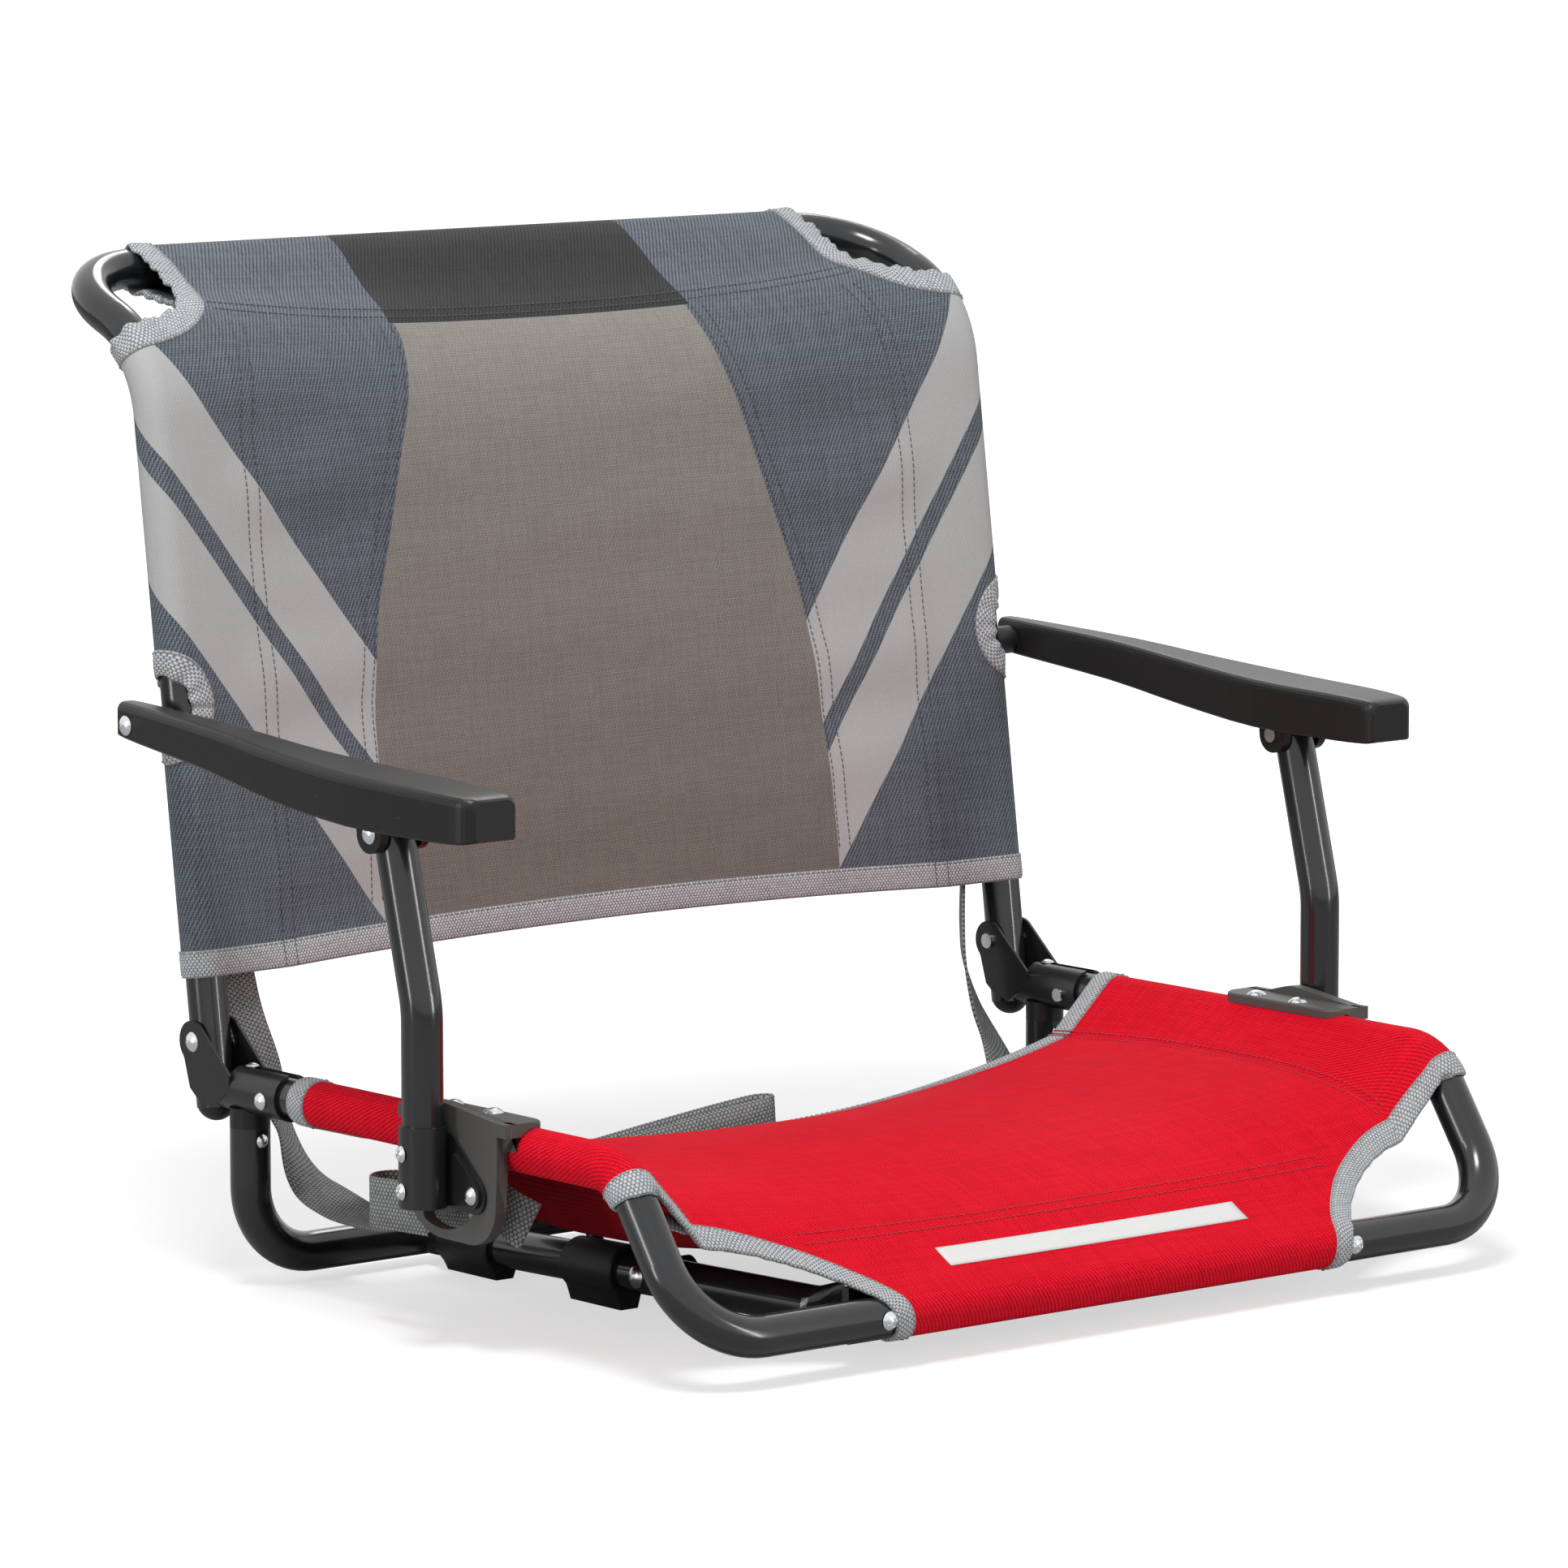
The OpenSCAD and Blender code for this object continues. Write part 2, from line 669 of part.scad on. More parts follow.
pin_head_t = 1.8;
module arm_clamp() {
    top = rail_z + tube_r + flange_t;
    color(plastic)
    difference() {
        union() {
            plate_yz(plate_x, plate_t)
                clamp_plate_outline();
            translate([0, clamp_back, 0])
                rotate([90, 0, 0])
                    linear_extrude(height = clamp_len)
                        polygon([
                            [plate_x + eps, rail_z],
                            [plate_x + plate_t / 2, rail_z],
                            [plate_x + plate_t / 2, top],
                            [side_x - tube_r * 1.4, top],
                            [side_x - tube_r * 1.4, rail_z + tube_r * 0.8],
                            [side_x - tube_r * 0.6, rail_z + tube_r * 0.88],
                            [side_x, rail_z]
                        ]);
        }
        bar_y([side_x, clamp_back - clamp_len - 1, rail_z], cloth_out + 3 * fit_gap, clamp_len + 2);
        bar_x([plate_x - cut / 2, pivot_y, pivot_z], pin_d / 2 + 0.02, cut);
        bar_x([plate_x - cut / 2, pivot_y, pivot_z], pin_d * 0.7 + fit_gap,
            cut / 2 + pin_head_t + 2 * fit_gap);
        plate_yz(plate_x - cut / 2, cut)
            translate([pivot_y, pivot_z])
                arc_slot(slot_r, slot_half, slot_start, slot_start + fold_angle);
        for (y = clamp_rivet_ys)
            translate([side_x, y, rail_z])
                cylinder(r = rivet_d / 2 + running, h = 2 * tube_d);
    }
}
module arm_clamp_left() { on_side(true) arm_clamp(); }
module arm_clamp_right() { on_side(false) arm_clamp(); }

module clamp_rivets() {
    color(zinc)
    on_both()
        for (y = clamp_rivet_ys) {
            translate([side_x, y, rail_z + bore_r - 2])
                cylinder(r = rivet_d / 2, h = flange_t + fit_gap + tube_r - bore_r + 2);
            translate([side_x, y, rail_z + tube_r + flange_t + fit_gap])
                dome(rivet_d * 0.85, head_h);
        }
}

// Pins that the arm posts turn on, held in the clamps
module post_pivot_pins() {
    color(zinc)
    on_both() {
        bar_x([plate_x + pin_head_t, pivot_y, pivot_z], pin_d / 2,
            arm_x - bore_r + pin_head_t - plate_x - pin_head_t);
        bar_x([plate_x + fit_gap, pivot_y, pivot_z], pin_d * 0.7, pin_head_t);
        bar_x([arm_x - bore_r + pin_head_t, pivot_y, pivot_z], pin_d * 0.62, pin_head_t * 0.9);
    }
}

// Back frame
post_low = [side_x, post_y(-post_tail * cos(back_lean)), hinge_z - post_tail * cos(back_lean)];
roll_corner = [side_x, hinge_y + post_rise * sin(back_lean), hinge_z + post_rise * cos(back_lean)];
top_corner = [side_x, hinge_y + top_y, top_z];

module back_frame() {
    color(steel)
    difference() {
        bent_tube([post_low, roll_corner, top_corner, mirror_x(top_corner),
            mirror_x(roll_corner), mirror_x(post_low)], [roll_r, top_r, top_r, roll_r]);
        on_both() {
            bar_x([side_x - cut, hinge_y, hinge_z], pin_d / 2 + running, 2 * cut);
            bar_x([side_x - cut, arm_back_y, arm_back_z], rivet_d / 2 + 0.02, 2 * cut);
        }
    }
}

module post_caps() {
    d = unit(roll_corner - post_low);
    x = [1, 0, 0];
    color(satin)
    on_both()
        multmatrix(frame_of(x, cross(d, x), d, post_low))
            rotate_extrude()
                union() {
                    translate([0, -0.1])
                        square([bore_r - 0.1, 12]);
                    intersection() {
                        translate([0, tube_r - cap_h - 0.05])
                            circle(r = tube_r);
                        translate([0, -cap_h - 0.05])
                            square([tube_r, cap_h]);
                    }
                }
}

// Armrests
// Stations along an armrest: place along Y from the front pivot, inner and outer face from
// the arm's plane, underside and top above the front pivot
arm_stations = [
    [arm_front_y - 75.5, -14, 9, 3.5, 22],
    [arm_front_y - 72.5, -16, 13, 2.4, 23.6],
    [arm_front_y - 64, -17.2, 16.4, 2, 24.6],
    [arm_front_y - 40, -18, 19.2, 2, 25.8],
    [arm_front_y + 12, -18, 21, 3, 27.6],
    [arm_front_y + 72, -12.5, 18, 8, 31.4],
    [arm_front_y + 132, -10, 12, 15.5, 36.6],
    [arm_back_y - 8, -9.7, 5, 22, 40.5],
    [arm_back_y + 9, -9.7, 3.2, 24, 41]
];
function corner(cx, cz, r, from, steps) = [for (k = [0 : steps])
    [cx + r * cos(from + 90 * k / steps), cz + r * sin(from + 90 * k / steps)]];
function arm_section(x1, x2, z1, z2, rt, rb) = concat(
    corner(x2 - rt, z2 - rt, rt, 0, 4), corner(x1 + rt, z2 - rt, rt, 90, 4),
    corner(x1 + rb, z1 + rb, rb, 180, 1), corner(x2 - rb, z1 + rb, rb, 270, 1));
function arm_ring(s, inset, rt, rb, down) = let (p = arm_section(arm_x + s[1] + inset,
    arm_x + s[2] - inset, arm_front_z + s[3] - down, arm_front_z + s[4] - inset, rt, rb))
    [for (k = [len(p) - 1 : -1 : 0]) [p[k][0], s[0], p[k][1]]];

lug_out = tube_r + slide_gap + lug_t;
pivot_head = rivet_d * 0.82;
module armrest() {
    stations = smooth(arm_stations, 3);
    hollow = [for (s = stations) if (s[0] > arm_front_y - 64 && s[0] < arm_back_y - 14) s];
    color(plastic)
    difference() {
        union() {
            difference() {
                loft([for (s = stations) arm_ring(s, 0, 4.2, 1, 0)]);
                loft([for (s = hollow) arm_ring(s, arm_wall, 2, 0.5, 6)]);
            }
            for (x = [tube_r + slide_gap, -tube_r - slide_gap - lug_t])
                plate_yz(arm_x + x, lug_t)
                    hull() {
                        translate([arm_front_y, arm_front_z])
                            circle(r = 9.5, $fn = 32);
                        translate([arm_front_y - 10.5, arm_front_z + 12])
                            square([21, 14]);
                    }
        }
        bar_x([arm_x - cut, arm_front_y, arm_front_z], rivet_d / 2 + slide_gap, 2 * cut);
        bar_x([arm_x - cut, arm_back_y, arm_back_z], rivet_d / 2 + running, 2 * cut);
        // Room for the front rivet's heads beside the lugs
        bar_x([arm_x + lug_out, arm_front_y, arm_front_z], pivot_head + slide_gap,
            head_h + 2 * slide_gap);
        bar_x([arm_x - lug_out - head_h * 0.7 - 2 * slide_gap, arm_front_y, arm_front_z],
            pivot_head + slide_gap, head_h * 0.7 + 2 * slide_gap);
    }
}
module armrest_left() { on_side(true) armrest(); }
module armrest_right() { on_side(false) armrest(); }

// The armrest's rear end: its faces at the rear pivot
arm_in = arm_x - 9.7;
arm_out = arm_x + 4.2;
module arm_rear_rivets() {
    color(zinc)
    on_both()
        rivet_x(side_x - tube_r - fit_gap, arm_out + 0.8, arm_back_y, arm_back_z,
            rivet_d / 2, pivot_head);
}

module arm_spacers() {
    color(satin)
    on_both()
        difference() {
            bar_x([side_x + 4, arm_back_y, arm_back_z], 7.5, arm_in - slide_gap - side_x - 4);
            bar(post_low, roll_corner, tube_r + 0.05);
            bar_x([side_x, arm_back_y, arm_back_z], rivet_d / 2 + running, 2 * cut);
        }
}

module arm_front_rivet() {
    color(zinc)
        rivet_x(arm_x - lug_out - fit_gap, arm_x + lug_out + fit_gap,
            arm_front_y, arm_front_z, rivet_d / 2, pivot_head);
}
module arm_front_rivet_left() { on_side(true) arm_front_rivet(); }
module arm_front_rivet_right() { on_side(false) arm_front_rivet(); }

// Arm posts
arm_post_low = [arm_x, pivot_y, pivot_z - wrap_h / 2];
arm_post_bend = [arm_x, pivot_y, pivot_z + arm_bend_h];
arm_post_top = [arm_x, arm_front_y, arm_front_z];
module arm_post() {
    top = arm_post_top + 8 * unit(arm_post_top - arm_post_bend);
    color(steel)
    difference() {
        bent_tube([arm_post_low, arm_post_bend, top], [arm_bend_r]);
        bar_x([arm_x - cut, arm_front_y, arm_front_z], rivet_d / 2 + running, 2 * cut);
        bar_x([arm_x - cut, pivot_y, pivot_z], pin_d / 2 + running, cut);
        for (z = post_screw_zs)
            post_screw_bar(z, 6, screw_d / 2 + running);
    }
}
module arm_post_left() { on_side(true) arm_post(); }
module arm_post_right() { on_side(false) arm_post(); }

// Post bracket: a wrap round the post and an ear out to the stud
post_screw_zs = [pivot_z + 6, pivot_z - 12];
post_screw_turn = 38;
module post_screw_bar(z, from, r) {
    translate([arm_x, pivot_y, z])
        rotate([0, 90, post_screw_turn])
            translate([0, 0, from])
                cylinder(r = r, h = 20);
}

module post_bracket() {
    ear_x = arm_x - tube_r - 0.1 - sheet_t;
    color(satin)
    difference() {
        union() {
            translate([arm_x, pivot_y, pivot_z - wrap_h / 2 - 1])
                cylinder(r = tube_r + 0.1 + sheet_t, h = wrap_h + 1);
            plate_yz(ear_x, sheet_t)
                hull() {
                    translate([pivot_y - stud_y, pivot_z - stud_drop])
                        circle(r = 9, $fn = 32);
                    translate([pivot_y - 9, pivot_z - wrap_h / 2 - 1])
                        square([9, wrap_h - 3]);
                }
            plate_yz(ear_x + sheet_t - eps, 1.6)
                hull() {
                    translate([pivot_y - stud_y, pivot_z - stud_drop])
                        circle(r = 6.5, $fn = 32);
                    translate([pivot_y - 12, pivot_z + 5])
                        circle(r = 1.5, $fn = 16);
                    translate([pivot_y - 12, pivot_z - 16])
                        circle(r = 1.5, $fn = 16);
                }
        }
        translate([arm_x, pivot_y, pivot_z - wrap_h])
            cylinder(r = tube_r + 0.1, h = 2 * wrap_h);
        bar_x([ear_x - 5, pivot_y, pivot_z], pin_d / 2 + running, 20);
        bar_x([ear_x - 5, pivot_y - stud_y, pivot_z - stud_drop], stud_r - 0.5 + 0.02, 20);
        for (z = post_screw_zs)
            post_screw_bar(z, 6, screw_d / 2 + running);
    }
}
module post_bracket_left() { on_side(true) post_bracket(); }
module post_bracket_right() { on_side(false) post_bracket(); }

module post_screws() {
    color(zinc)
    for (z = post_screw_zs) {
        intersection() {
            post_screw_bar(z, 6, screw_d / 2);
            translate([arm_x, pivot_y, z - 10])
                cylinder(r = tube_r + sheet_t + 0.3, h = 20);
        }
        translate([arm_x, pivot_y, z])
            rotate([0, 90, post_screw_turn])
                translate([0, 0, tube_r + sheet_t + 0.2])
                    dome(screw_d * 0.85, head_h);
    }
}
module post_screws_left() { on_side(true) post_screws(); }
module post_screws_right() { on_side(false) post_screws(); }

module slot_stud() {
    y = pivot_y - stud_y;
    z = pivot_z - stud_drop;
    ear_x = arm_x - tube_r - 0.1 - sheet_t;
    color(zinc) {
        bar_x([plate_x - 0.6, y, z], stud_r, ear_x - 0.1 - plate_x + 0.6);
        bar_x([plate_x - 2.4, y, z], stud_r + 1.6, 1.8 + eps);
        bar_x([ear_x - 0.2, y, z], stud_r - 0.5, sheet_t + 2);
        translate([ear_x + sheet_t + 1.7, y, z])
            rotate([0, 90, 0])
                dome(rivet_d * 0.75, head_h);
    }
}
module slot_stud_left() { on_side(true) slot_stud(); }
module slot_stud_right() { on_side(false) slot_stud(); }

// Bench hook: a U of round rod between the lower tubes, with a turned-up lip
module bench_hook() {
    inner = lower_x - tube_r - saddle_wall - slide_gap - hook_d / 2;
    eye = [inner, hook_y, hook_z];
    back = [inner, hook_y + hook_arm, hook_z];
    lip = [inner, hook_y + hook_arm, hook_z + hook_lip];
    color(satin)
    difference() {
        union() {
            bent_bar([eye, back, lip, mirror_x(lip), mirror_x(back), mirror_x(eye)],
                [hook_bend, hook_bend, hook_bend, hook_bend], hook_d / 2);
            on_both()
                bar_x([inner - hook_d / 2 - 0.6, hook_y, hook_z], hook_d * 0.9,
                    hook_d + 0.6 + saddle_wall);
        }
        on_both()
            bar_x([inner - cut / 2, hook_y, hook_z], rivet_d / 2 + running, cut);
    }
}

// Seat sling
// Stations of the seat from rear to front: share of the way from its rear edge to the ramp's
// end, share of its width between the front rail's and the side seams', and how many times
// the least drop its middle and its side lie below the rails' axis
ramp_end = seat_depth - tube_r - 4;
seat_stations = smooth([
    [0, 1, 1.98, 1.54],
    [0.118, 1, 1.565, 1.29],
    [0.25, 1, 1.217, 1.083],
    [0.425, 1, 1, 1],
    [0.6, 1, 1, 1.042],
    [0.739, 1, 1.217, 1.333],
    [0.843, 0.979, 1.543, 1.917],
    [0.93, 0.469, 1.935, 3.5],
    [1, 0.208, 2.435, 4.583]
], 2);
function seat_forward(share) = seat_rear + (ramp_end - seat_rear) * share;
function seat_half(k) = front_half + (side_x - seam_w - front_half) * k;
seat_cols = 14;
seat_wrap_r = sleeve_r + fit_gap;
function seat_drop(s, u) = let (mid = seat_dip * s[2], side = seat_side_dip * s[3])
    mid + (side - mid) * pow(abs(u), 2.2);
seat_grid = concat(
    [for (s = seat_stations) [for (i = [0 : seat_cols]) let (u = 1 - 2 * i / seat_cols)
        [u * seat_half(s[1]), hinge_y - seat_forward(s[0]), rail_z - seat_drop(s, u)]]],
    [for (a = [63 : 27 : 306]) [for (i = [0 : seat_cols]) let (u = 1 - 2 * i / seat_cols)
        [u * front_half, front_y + seat_wrap_r * cos(a), front_z + seat_wrap_r * sin(a)]]]);

// A sleeve's section round a tube's axis, from a seam at distance width and height rise:
// out along the upper layer, round the tube at radius r and back under
function sleeve_section(width, rise, r = sleeve_r) = let (
    reach = norm([width, rise]),
    tilt = atan(rise / width),
    open = asin(r / reach))
    concat(
        [[cloth_gap - width, rise]],
        [for (k = [0 : 9]) let (a = 90 - tilt + open - k * (180 + 2 * open) / 9)
            r * [cos(a), sin(a)]],
        [[4 - width, rise - 2 * cloth_t]]);

// Rows of the seat's sleeves: distance forward, drop of the rail there, its turn downwards,
// drop of the seam, and the sleeve's radius, a little wider round the rail's bend
rail_turn = turn(unit(rail_corner - rail_end), unit(front_corner - rail_corner));
rail_straight = rail_bend - bend_r * tan(rail_turn / 2);
bend_ease = 0.3;
sleeve_rows = concat(
    [for (k = [0, 2, 4, 8, 10]) let (s = seat_stations[k])
        [seat_forward(s[0]), 0, 0, seat_side_dip * s[3], seat_wrap_r]],
    [for (a = [0 : 9 : 27])
        [rail_straight + bend_r * sin(a), bend_r * (1 - cos(a)), a,
            seat_side_dip * (1.65 + a / 60), seat_wrap_r + (a > 0 ? bend_ease : 0)]]);

module seat_sling() {
    color(red)
    union() {
        cloth(seat_grid, cloth_t);
        on_both()
            cloth([for (r = sleeve_rows) [for (p = sleeve_section(seam_w, -r[3], r[4]))
                [side_x + p[0], hinge_y - r[0] - p[1] * sin(r[2]),
                    rail_z - r[1] + p[1] * cos(r[2])]]], cloth_t);
    }
}

// Back sling, drawn along the back's own profile: h along the posts from the hinge, and
// push out to the front
roll_turn = roll_lean - back_lean;
function profile_dir(lean) = [sin(lean), cos(lean)];
function back_place(h, push) = h * profile_dir(back_lean) - push * [cos(back_lean), -sin(back_lean)];
function bend_start(r) = post_rise - r * tan(roll_turn / 2);
function back_bend(r, a, push) = back_place(bend_start(r), -r)
    + (r + push) * [-cos(back_lean + a), sin(back_lean + a)];
function back_wrap(a) = [top_y - sleeve_r * cos(a), top_z - hinge_z + sleeve_r * sin(a)];
seam_push = sleeve_r - seam_in;
function back_push(u) = seam_push - back_sag * (1 - pow(abs(u), 2.2));

// A column of the panel at share u of its half width: up the post, over the bend and round
// the top tube. The middle hangs lower at the hem and rolls over more softly
function back_column(u) = let (push = back_push(u), r = roll_r + 30 * (1 - u * u))
    concat(
        [back_place(hem_h + 5 * (1 - u * u), push)],
        [for (k = [0.26, 0.44, 0.61, 0.766]) back_place(post_rise * k, push)],
        [for (k = [0 : 4]) back_bend(r, roll_turn * k / 4, push)],
        [for (a = [60 : 24 : 204]) back_wrap(a)]);
back_half = side_x - back_seam;
top_half = side_x - top_r - 2;
back_cols = 14;
back_steps = len(back_column(1)) - 1;
back_grid = [for (j = [0 : back_steps]) let (
    half = back_half + (top_half - back_half) * min(1, max(0, (j - 5) / 5)))
    [for (i = [0 : back_cols]) let (u = 1 - 2 * i / back_cols, p = back_column(u)[j])
        [-u * half, hinge_y + p[0], hinge_z + p[1]]]];

// Rows of the sleeves: height along the post and turn round its bend
post_straight = bend_start(roll_r);
top_turn = (sleeve_top - post_straight) / roll_r * 180 / PI;
low_rows = [[hem_h, 0], [arm_gap_low, 0]];
high_rows = concat([[arm_gap_high, 0]], [for (k = [0 : 5]) [post_straight, top_turn * k / 5]]);
function sleeve_place(row, push) = row[1] == 0 ? back_place(row[0], push)
    : back_bend(roll_r, row[1], push);

module back_sling() {
    color(grey)
    union() {
        cloth(back_grid, cloth_t);
        on_both()
            for (rows = [low_rows, high_rows])
                cloth([for (row = rows)
                    [for (p = sleeve_section(back_seam, seam_push, sleeve_r + (row[1] > 0 ? bend_ease : 0)))
                        let (q = sleeve_place(row, p[1])) [side_x + p[0], hinge_y + q[0], hinge_z + q[1]]]],
                    cloth_t);
    }
}

seat_frame();
base_frame();
leg_collars();
collar_screws();
lower_tube_left();
lower_tube_right();
bench_glides();
hook_rivets();
front_screws();
front_nuts();
hinge_bracket_left();
hinge_bracket_right();
hinge_rivets();
bracket_rivets();
bracket_screws();
arm_clamp_left();
arm_clamp_right();
clamp_rivets();
post_pivot_pins();
seat_sling();
back_frame();
post_caps();
back_sling();
arm_rear_rivets();
arm_spacers();
armrest_left();
armrest_right();
arm_front_rivet_left();
arm_front_rivet_right();
arm_post_left();
arm_post_right();
post_bracket_left();
post_bracket_right();
post_screws_left();
post_screws_right();
slot_stud_left();
slot_stud_right();
bench_hook();
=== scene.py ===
import json
import math
import bmesh
import bpy
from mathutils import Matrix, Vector
import numpy as np


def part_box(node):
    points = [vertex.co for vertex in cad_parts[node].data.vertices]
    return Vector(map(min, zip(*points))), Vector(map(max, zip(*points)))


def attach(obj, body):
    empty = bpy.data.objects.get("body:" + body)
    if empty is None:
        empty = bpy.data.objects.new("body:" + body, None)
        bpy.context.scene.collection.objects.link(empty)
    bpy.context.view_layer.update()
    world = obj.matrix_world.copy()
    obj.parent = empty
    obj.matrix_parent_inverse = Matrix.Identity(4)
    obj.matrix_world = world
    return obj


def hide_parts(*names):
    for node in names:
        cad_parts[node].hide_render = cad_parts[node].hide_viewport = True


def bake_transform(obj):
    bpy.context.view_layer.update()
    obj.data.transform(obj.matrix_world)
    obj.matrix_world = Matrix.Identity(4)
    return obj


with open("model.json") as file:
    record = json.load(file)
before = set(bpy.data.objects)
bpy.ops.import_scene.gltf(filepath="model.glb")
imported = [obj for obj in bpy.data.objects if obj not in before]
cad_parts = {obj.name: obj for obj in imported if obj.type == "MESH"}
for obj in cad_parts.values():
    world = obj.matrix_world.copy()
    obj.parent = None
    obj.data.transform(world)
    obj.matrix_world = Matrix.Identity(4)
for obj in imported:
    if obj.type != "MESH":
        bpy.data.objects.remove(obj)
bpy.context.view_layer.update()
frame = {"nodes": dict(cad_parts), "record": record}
MM = 0.001

# Sizes that the cloth follows, in millimetres, as in the part's source
TUBE_R = 10.0
SLEEVE_R = 10.85
SIDE_X = 260.0
HINGE_Y = 126.507
HINGE_Z = 120.0
LEAN = math.radians(7.7)
ROLL_LEAN = math.radians(67.8)
POST_RISE = 342.0
ROLL_LEN = 87.5
ROLL_R = 57.0
RAIL_Z = 99.5
SEAT_DEPTH = 379.0
FRONT_Z = 24.2
BINDING_W = 13.0
CORNER_BINDING_W = 10.5
STITCH_INSET = 0.8
SEAT_STITCH_REACH = 9.6
ARM_HOLE_STITCH_R = 27.6


# Camera at the photograph's angle
def make_camera():
    data = bpy.data.cameras.new("photo_camera")
    data.sensor_width = 36.0
    data.lens = 195.65
    data.clip_end = 100.0
    camera = bpy.data.objects.new("photo_camera", data)
    camera.location = (-2.6904, -3.2556, 0.8042)
    camera.rotation_euler = (math.radians(82.367), 0.0, math.radians(-39.596))
    bpy.context.scene.collection.objects.link(camera)
    bpy.context.scene.camera = camera


make_camera()


# Nodes and materials
def fill(tree, made, values):
    for key, value in values.items():
        socket = made.inputs[key]
        if isinstance(value, bpy.types.NodeSocket):
            tree.links.new(value, socket)
        else:
            socket.default_value = value
    return made


def put(tree, kind, values=None, **settings):
    made = tree.nodes.new(kind)
    for key, value in settings.items():
        setattr(made, key, value)
    return fill(tree, made, values or {})


def calc(tree, operation, *values):
    made = put(tree, "ShaderNodeMath", dict(enumerate(values)), operation=operation)
    return made.outputs[0]


def blend_colour(tree, share, first, second):
    made = put(tree, "ShaderNodeMix", {0: share, 6: first, 7: second}, data_type="RGBA")
    return made.outputs[2]


def colour(red, green, blue):
    return (red, green, blue, 1.0)


def new_group(name, inputs, outputs):
    group = bpy.data.node_groups.new(name, "ShaderNodeTree")
    for label, kind, value in inputs:
        socket = group.interface.new_socket(label, in_out="INPUT", socket_type=kind)
        if value is not None:
            socket.default_value = value
    for label, kind in outputs:
        group.interface.new_socket(label, in_out="OUTPUT", socket_type=kind)
    return group, group.nodes.new("NodeGroupInput"), group.nodes.new("NodeGroupOutput")


def place_group(tree, group, values):
    return put(tree, "ShaderNodeGroup", values, node_tree=group)


def new_material(name, roughness, base=None, metallic=0.0, coat=0.0, sheen=0.0, level=0.5):
    material = bpy.data.materials.new(name)
    material.use_nodes = True
    tree = material.node_tree
    shader = tree.nodes["Principled BSDF"]
    shader.inputs["Roughness"].default_value = roughness
    shader.inputs["Metallic"].default_value = metallic
    shader.inputs["Coat Weight"].default_value = coat
    shader.inputs["Coat Roughness"].default_value = 0.08
    shader.inputs["Sheen Weight"].default_value = sheen
    shader.inputs["Specular IOR Level"].default_value = level
    if base is not None:
        shader.inputs["Base Color"].default_value = base
    return material, tree, shader


def raise_surface(tree, shader, height, strength, distance):
    bump = put(tree, "ShaderNodeBump", {"Height": height, "Strength": strength,
                                        "Distance": distance})
    tree.links.new(bump.outputs[0], shader.inputs["Normal"])


# Woven threads: a plain weave that turns into diagonal ribs as twill goes to 1. Each thread has
# its own tone, which changes now and then along its length, as in spun yarn
def make_weave_group():
    group, given, out = new_group(
        "woven_threads",
        [("Cloth Place", "NodeSocketVector", None), ("Thread Pitch", "NodeSocketFloat", 0.0008),
         ("Twill", "NodeSocketFloat", 0.0), ("Slub", "NodeSocketFloat", 0.4)],
        [("Height", "NodeSocketFloat"), ("Shade", "NodeSocketFloat")])
    part = put(group, "ShaderNodeSeparateXYZ", {0: given.outputs["Cloth Place"]})
    across = calc(group, "DIVIDE", part.outputs[0], given.outputs["Thread Pitch"])
    along = calc(group, "DIVIDE", part.outputs[1], given.outputs["Thread Pitch"])
    warp = calc(group, "ABSOLUTE", calc(group, "SINE", calc(group, "MULTIPLY", across, math.pi)))
    weft = calc(group, "ABSOLUTE", calc(group, "SINE", calc(group, "MULTIPLY", along, math.pi)))
    warp_number = calc(group, "FLOOR", across)
    weft_number = calc(group, "FLOOR", along)
    cell = calc(group, "ADD", warp_number, weft_number)
    half_cell = calc(group, "FRACT", calc(group, "MULTIPLY", cell, 0.5))
    over = calc(group, "GREATER_THAN", half_cell, 0.25)
    under = calc(group, "SUBTRACT", 1.0, over)
    plain = calc(group, "ADD", calc(group, "MULTIPLY", over, warp),
                 calc(group, "MULTIPLY", under, weft))
    slant = calc(group, "ADD", calc(group, "MULTIPLY", across, 0.55),
                 calc(group, "MULTIPLY", along, -0.32))
    rib = calc(group, "ABSOLUTE", calc(group, "SINE", calc(group, "MULTIPLY", slant, math.pi)))
    knots = calc(group, "ADD", calc(group, "MULTIPLY", rib, 0.7),
                 calc(group, "MULTIPLY", plain, 0.3))
    straight = calc(group, "SUBTRACT", 1.0, given.outputs["Twill"])
    height = calc(group, "ADD", calc(group, "MULTIPLY", plain, straight),
                  calc(group, "MULTIPLY", knots, given.outputs["Twill"]))
    warp_tone = thread_tone(group, warp_number, calc(group, "MULTIPLY", along, 0.07))
    weft_tone = thread_tone(group, weft_number, calc(group, "MULTIPLY_ADD", across, 0.055, 40.0))
    own = calc(group, "ADD", calc(group, "MULTIPLY", over, warp_tone),
               calc(group, "MULTIPLY", under, weft_tone))
    own = calc(group, "MULTIPLY", calc(group, "SUBTRACT", own, 0.5), given.outputs["Slub"])
    shade = calc(group, "ADD", calc(group, "MULTIPLY_ADD", height, 1.35, -0.36), own)
    shade = put(group, "ShaderNodeClamp", {0: shade}).outputs[0]
    group.links.new(height, out.inputs["Height"])
    group.links.new(shade, out.inputs["Shade"])
    return group


# One thread's tone, from its number and the place along it
def thread_tone(tree, number, place):
    both = put(tree, "ShaderNodeCombineXYZ", {0: number, 1: calc(tree, "FLOOR", place)})
    return put(tree, "ShaderNodeTexWhiteNoise", {"Vector": both.outputs[0]},
               noise_dimensions="2D").outputs["Value"]


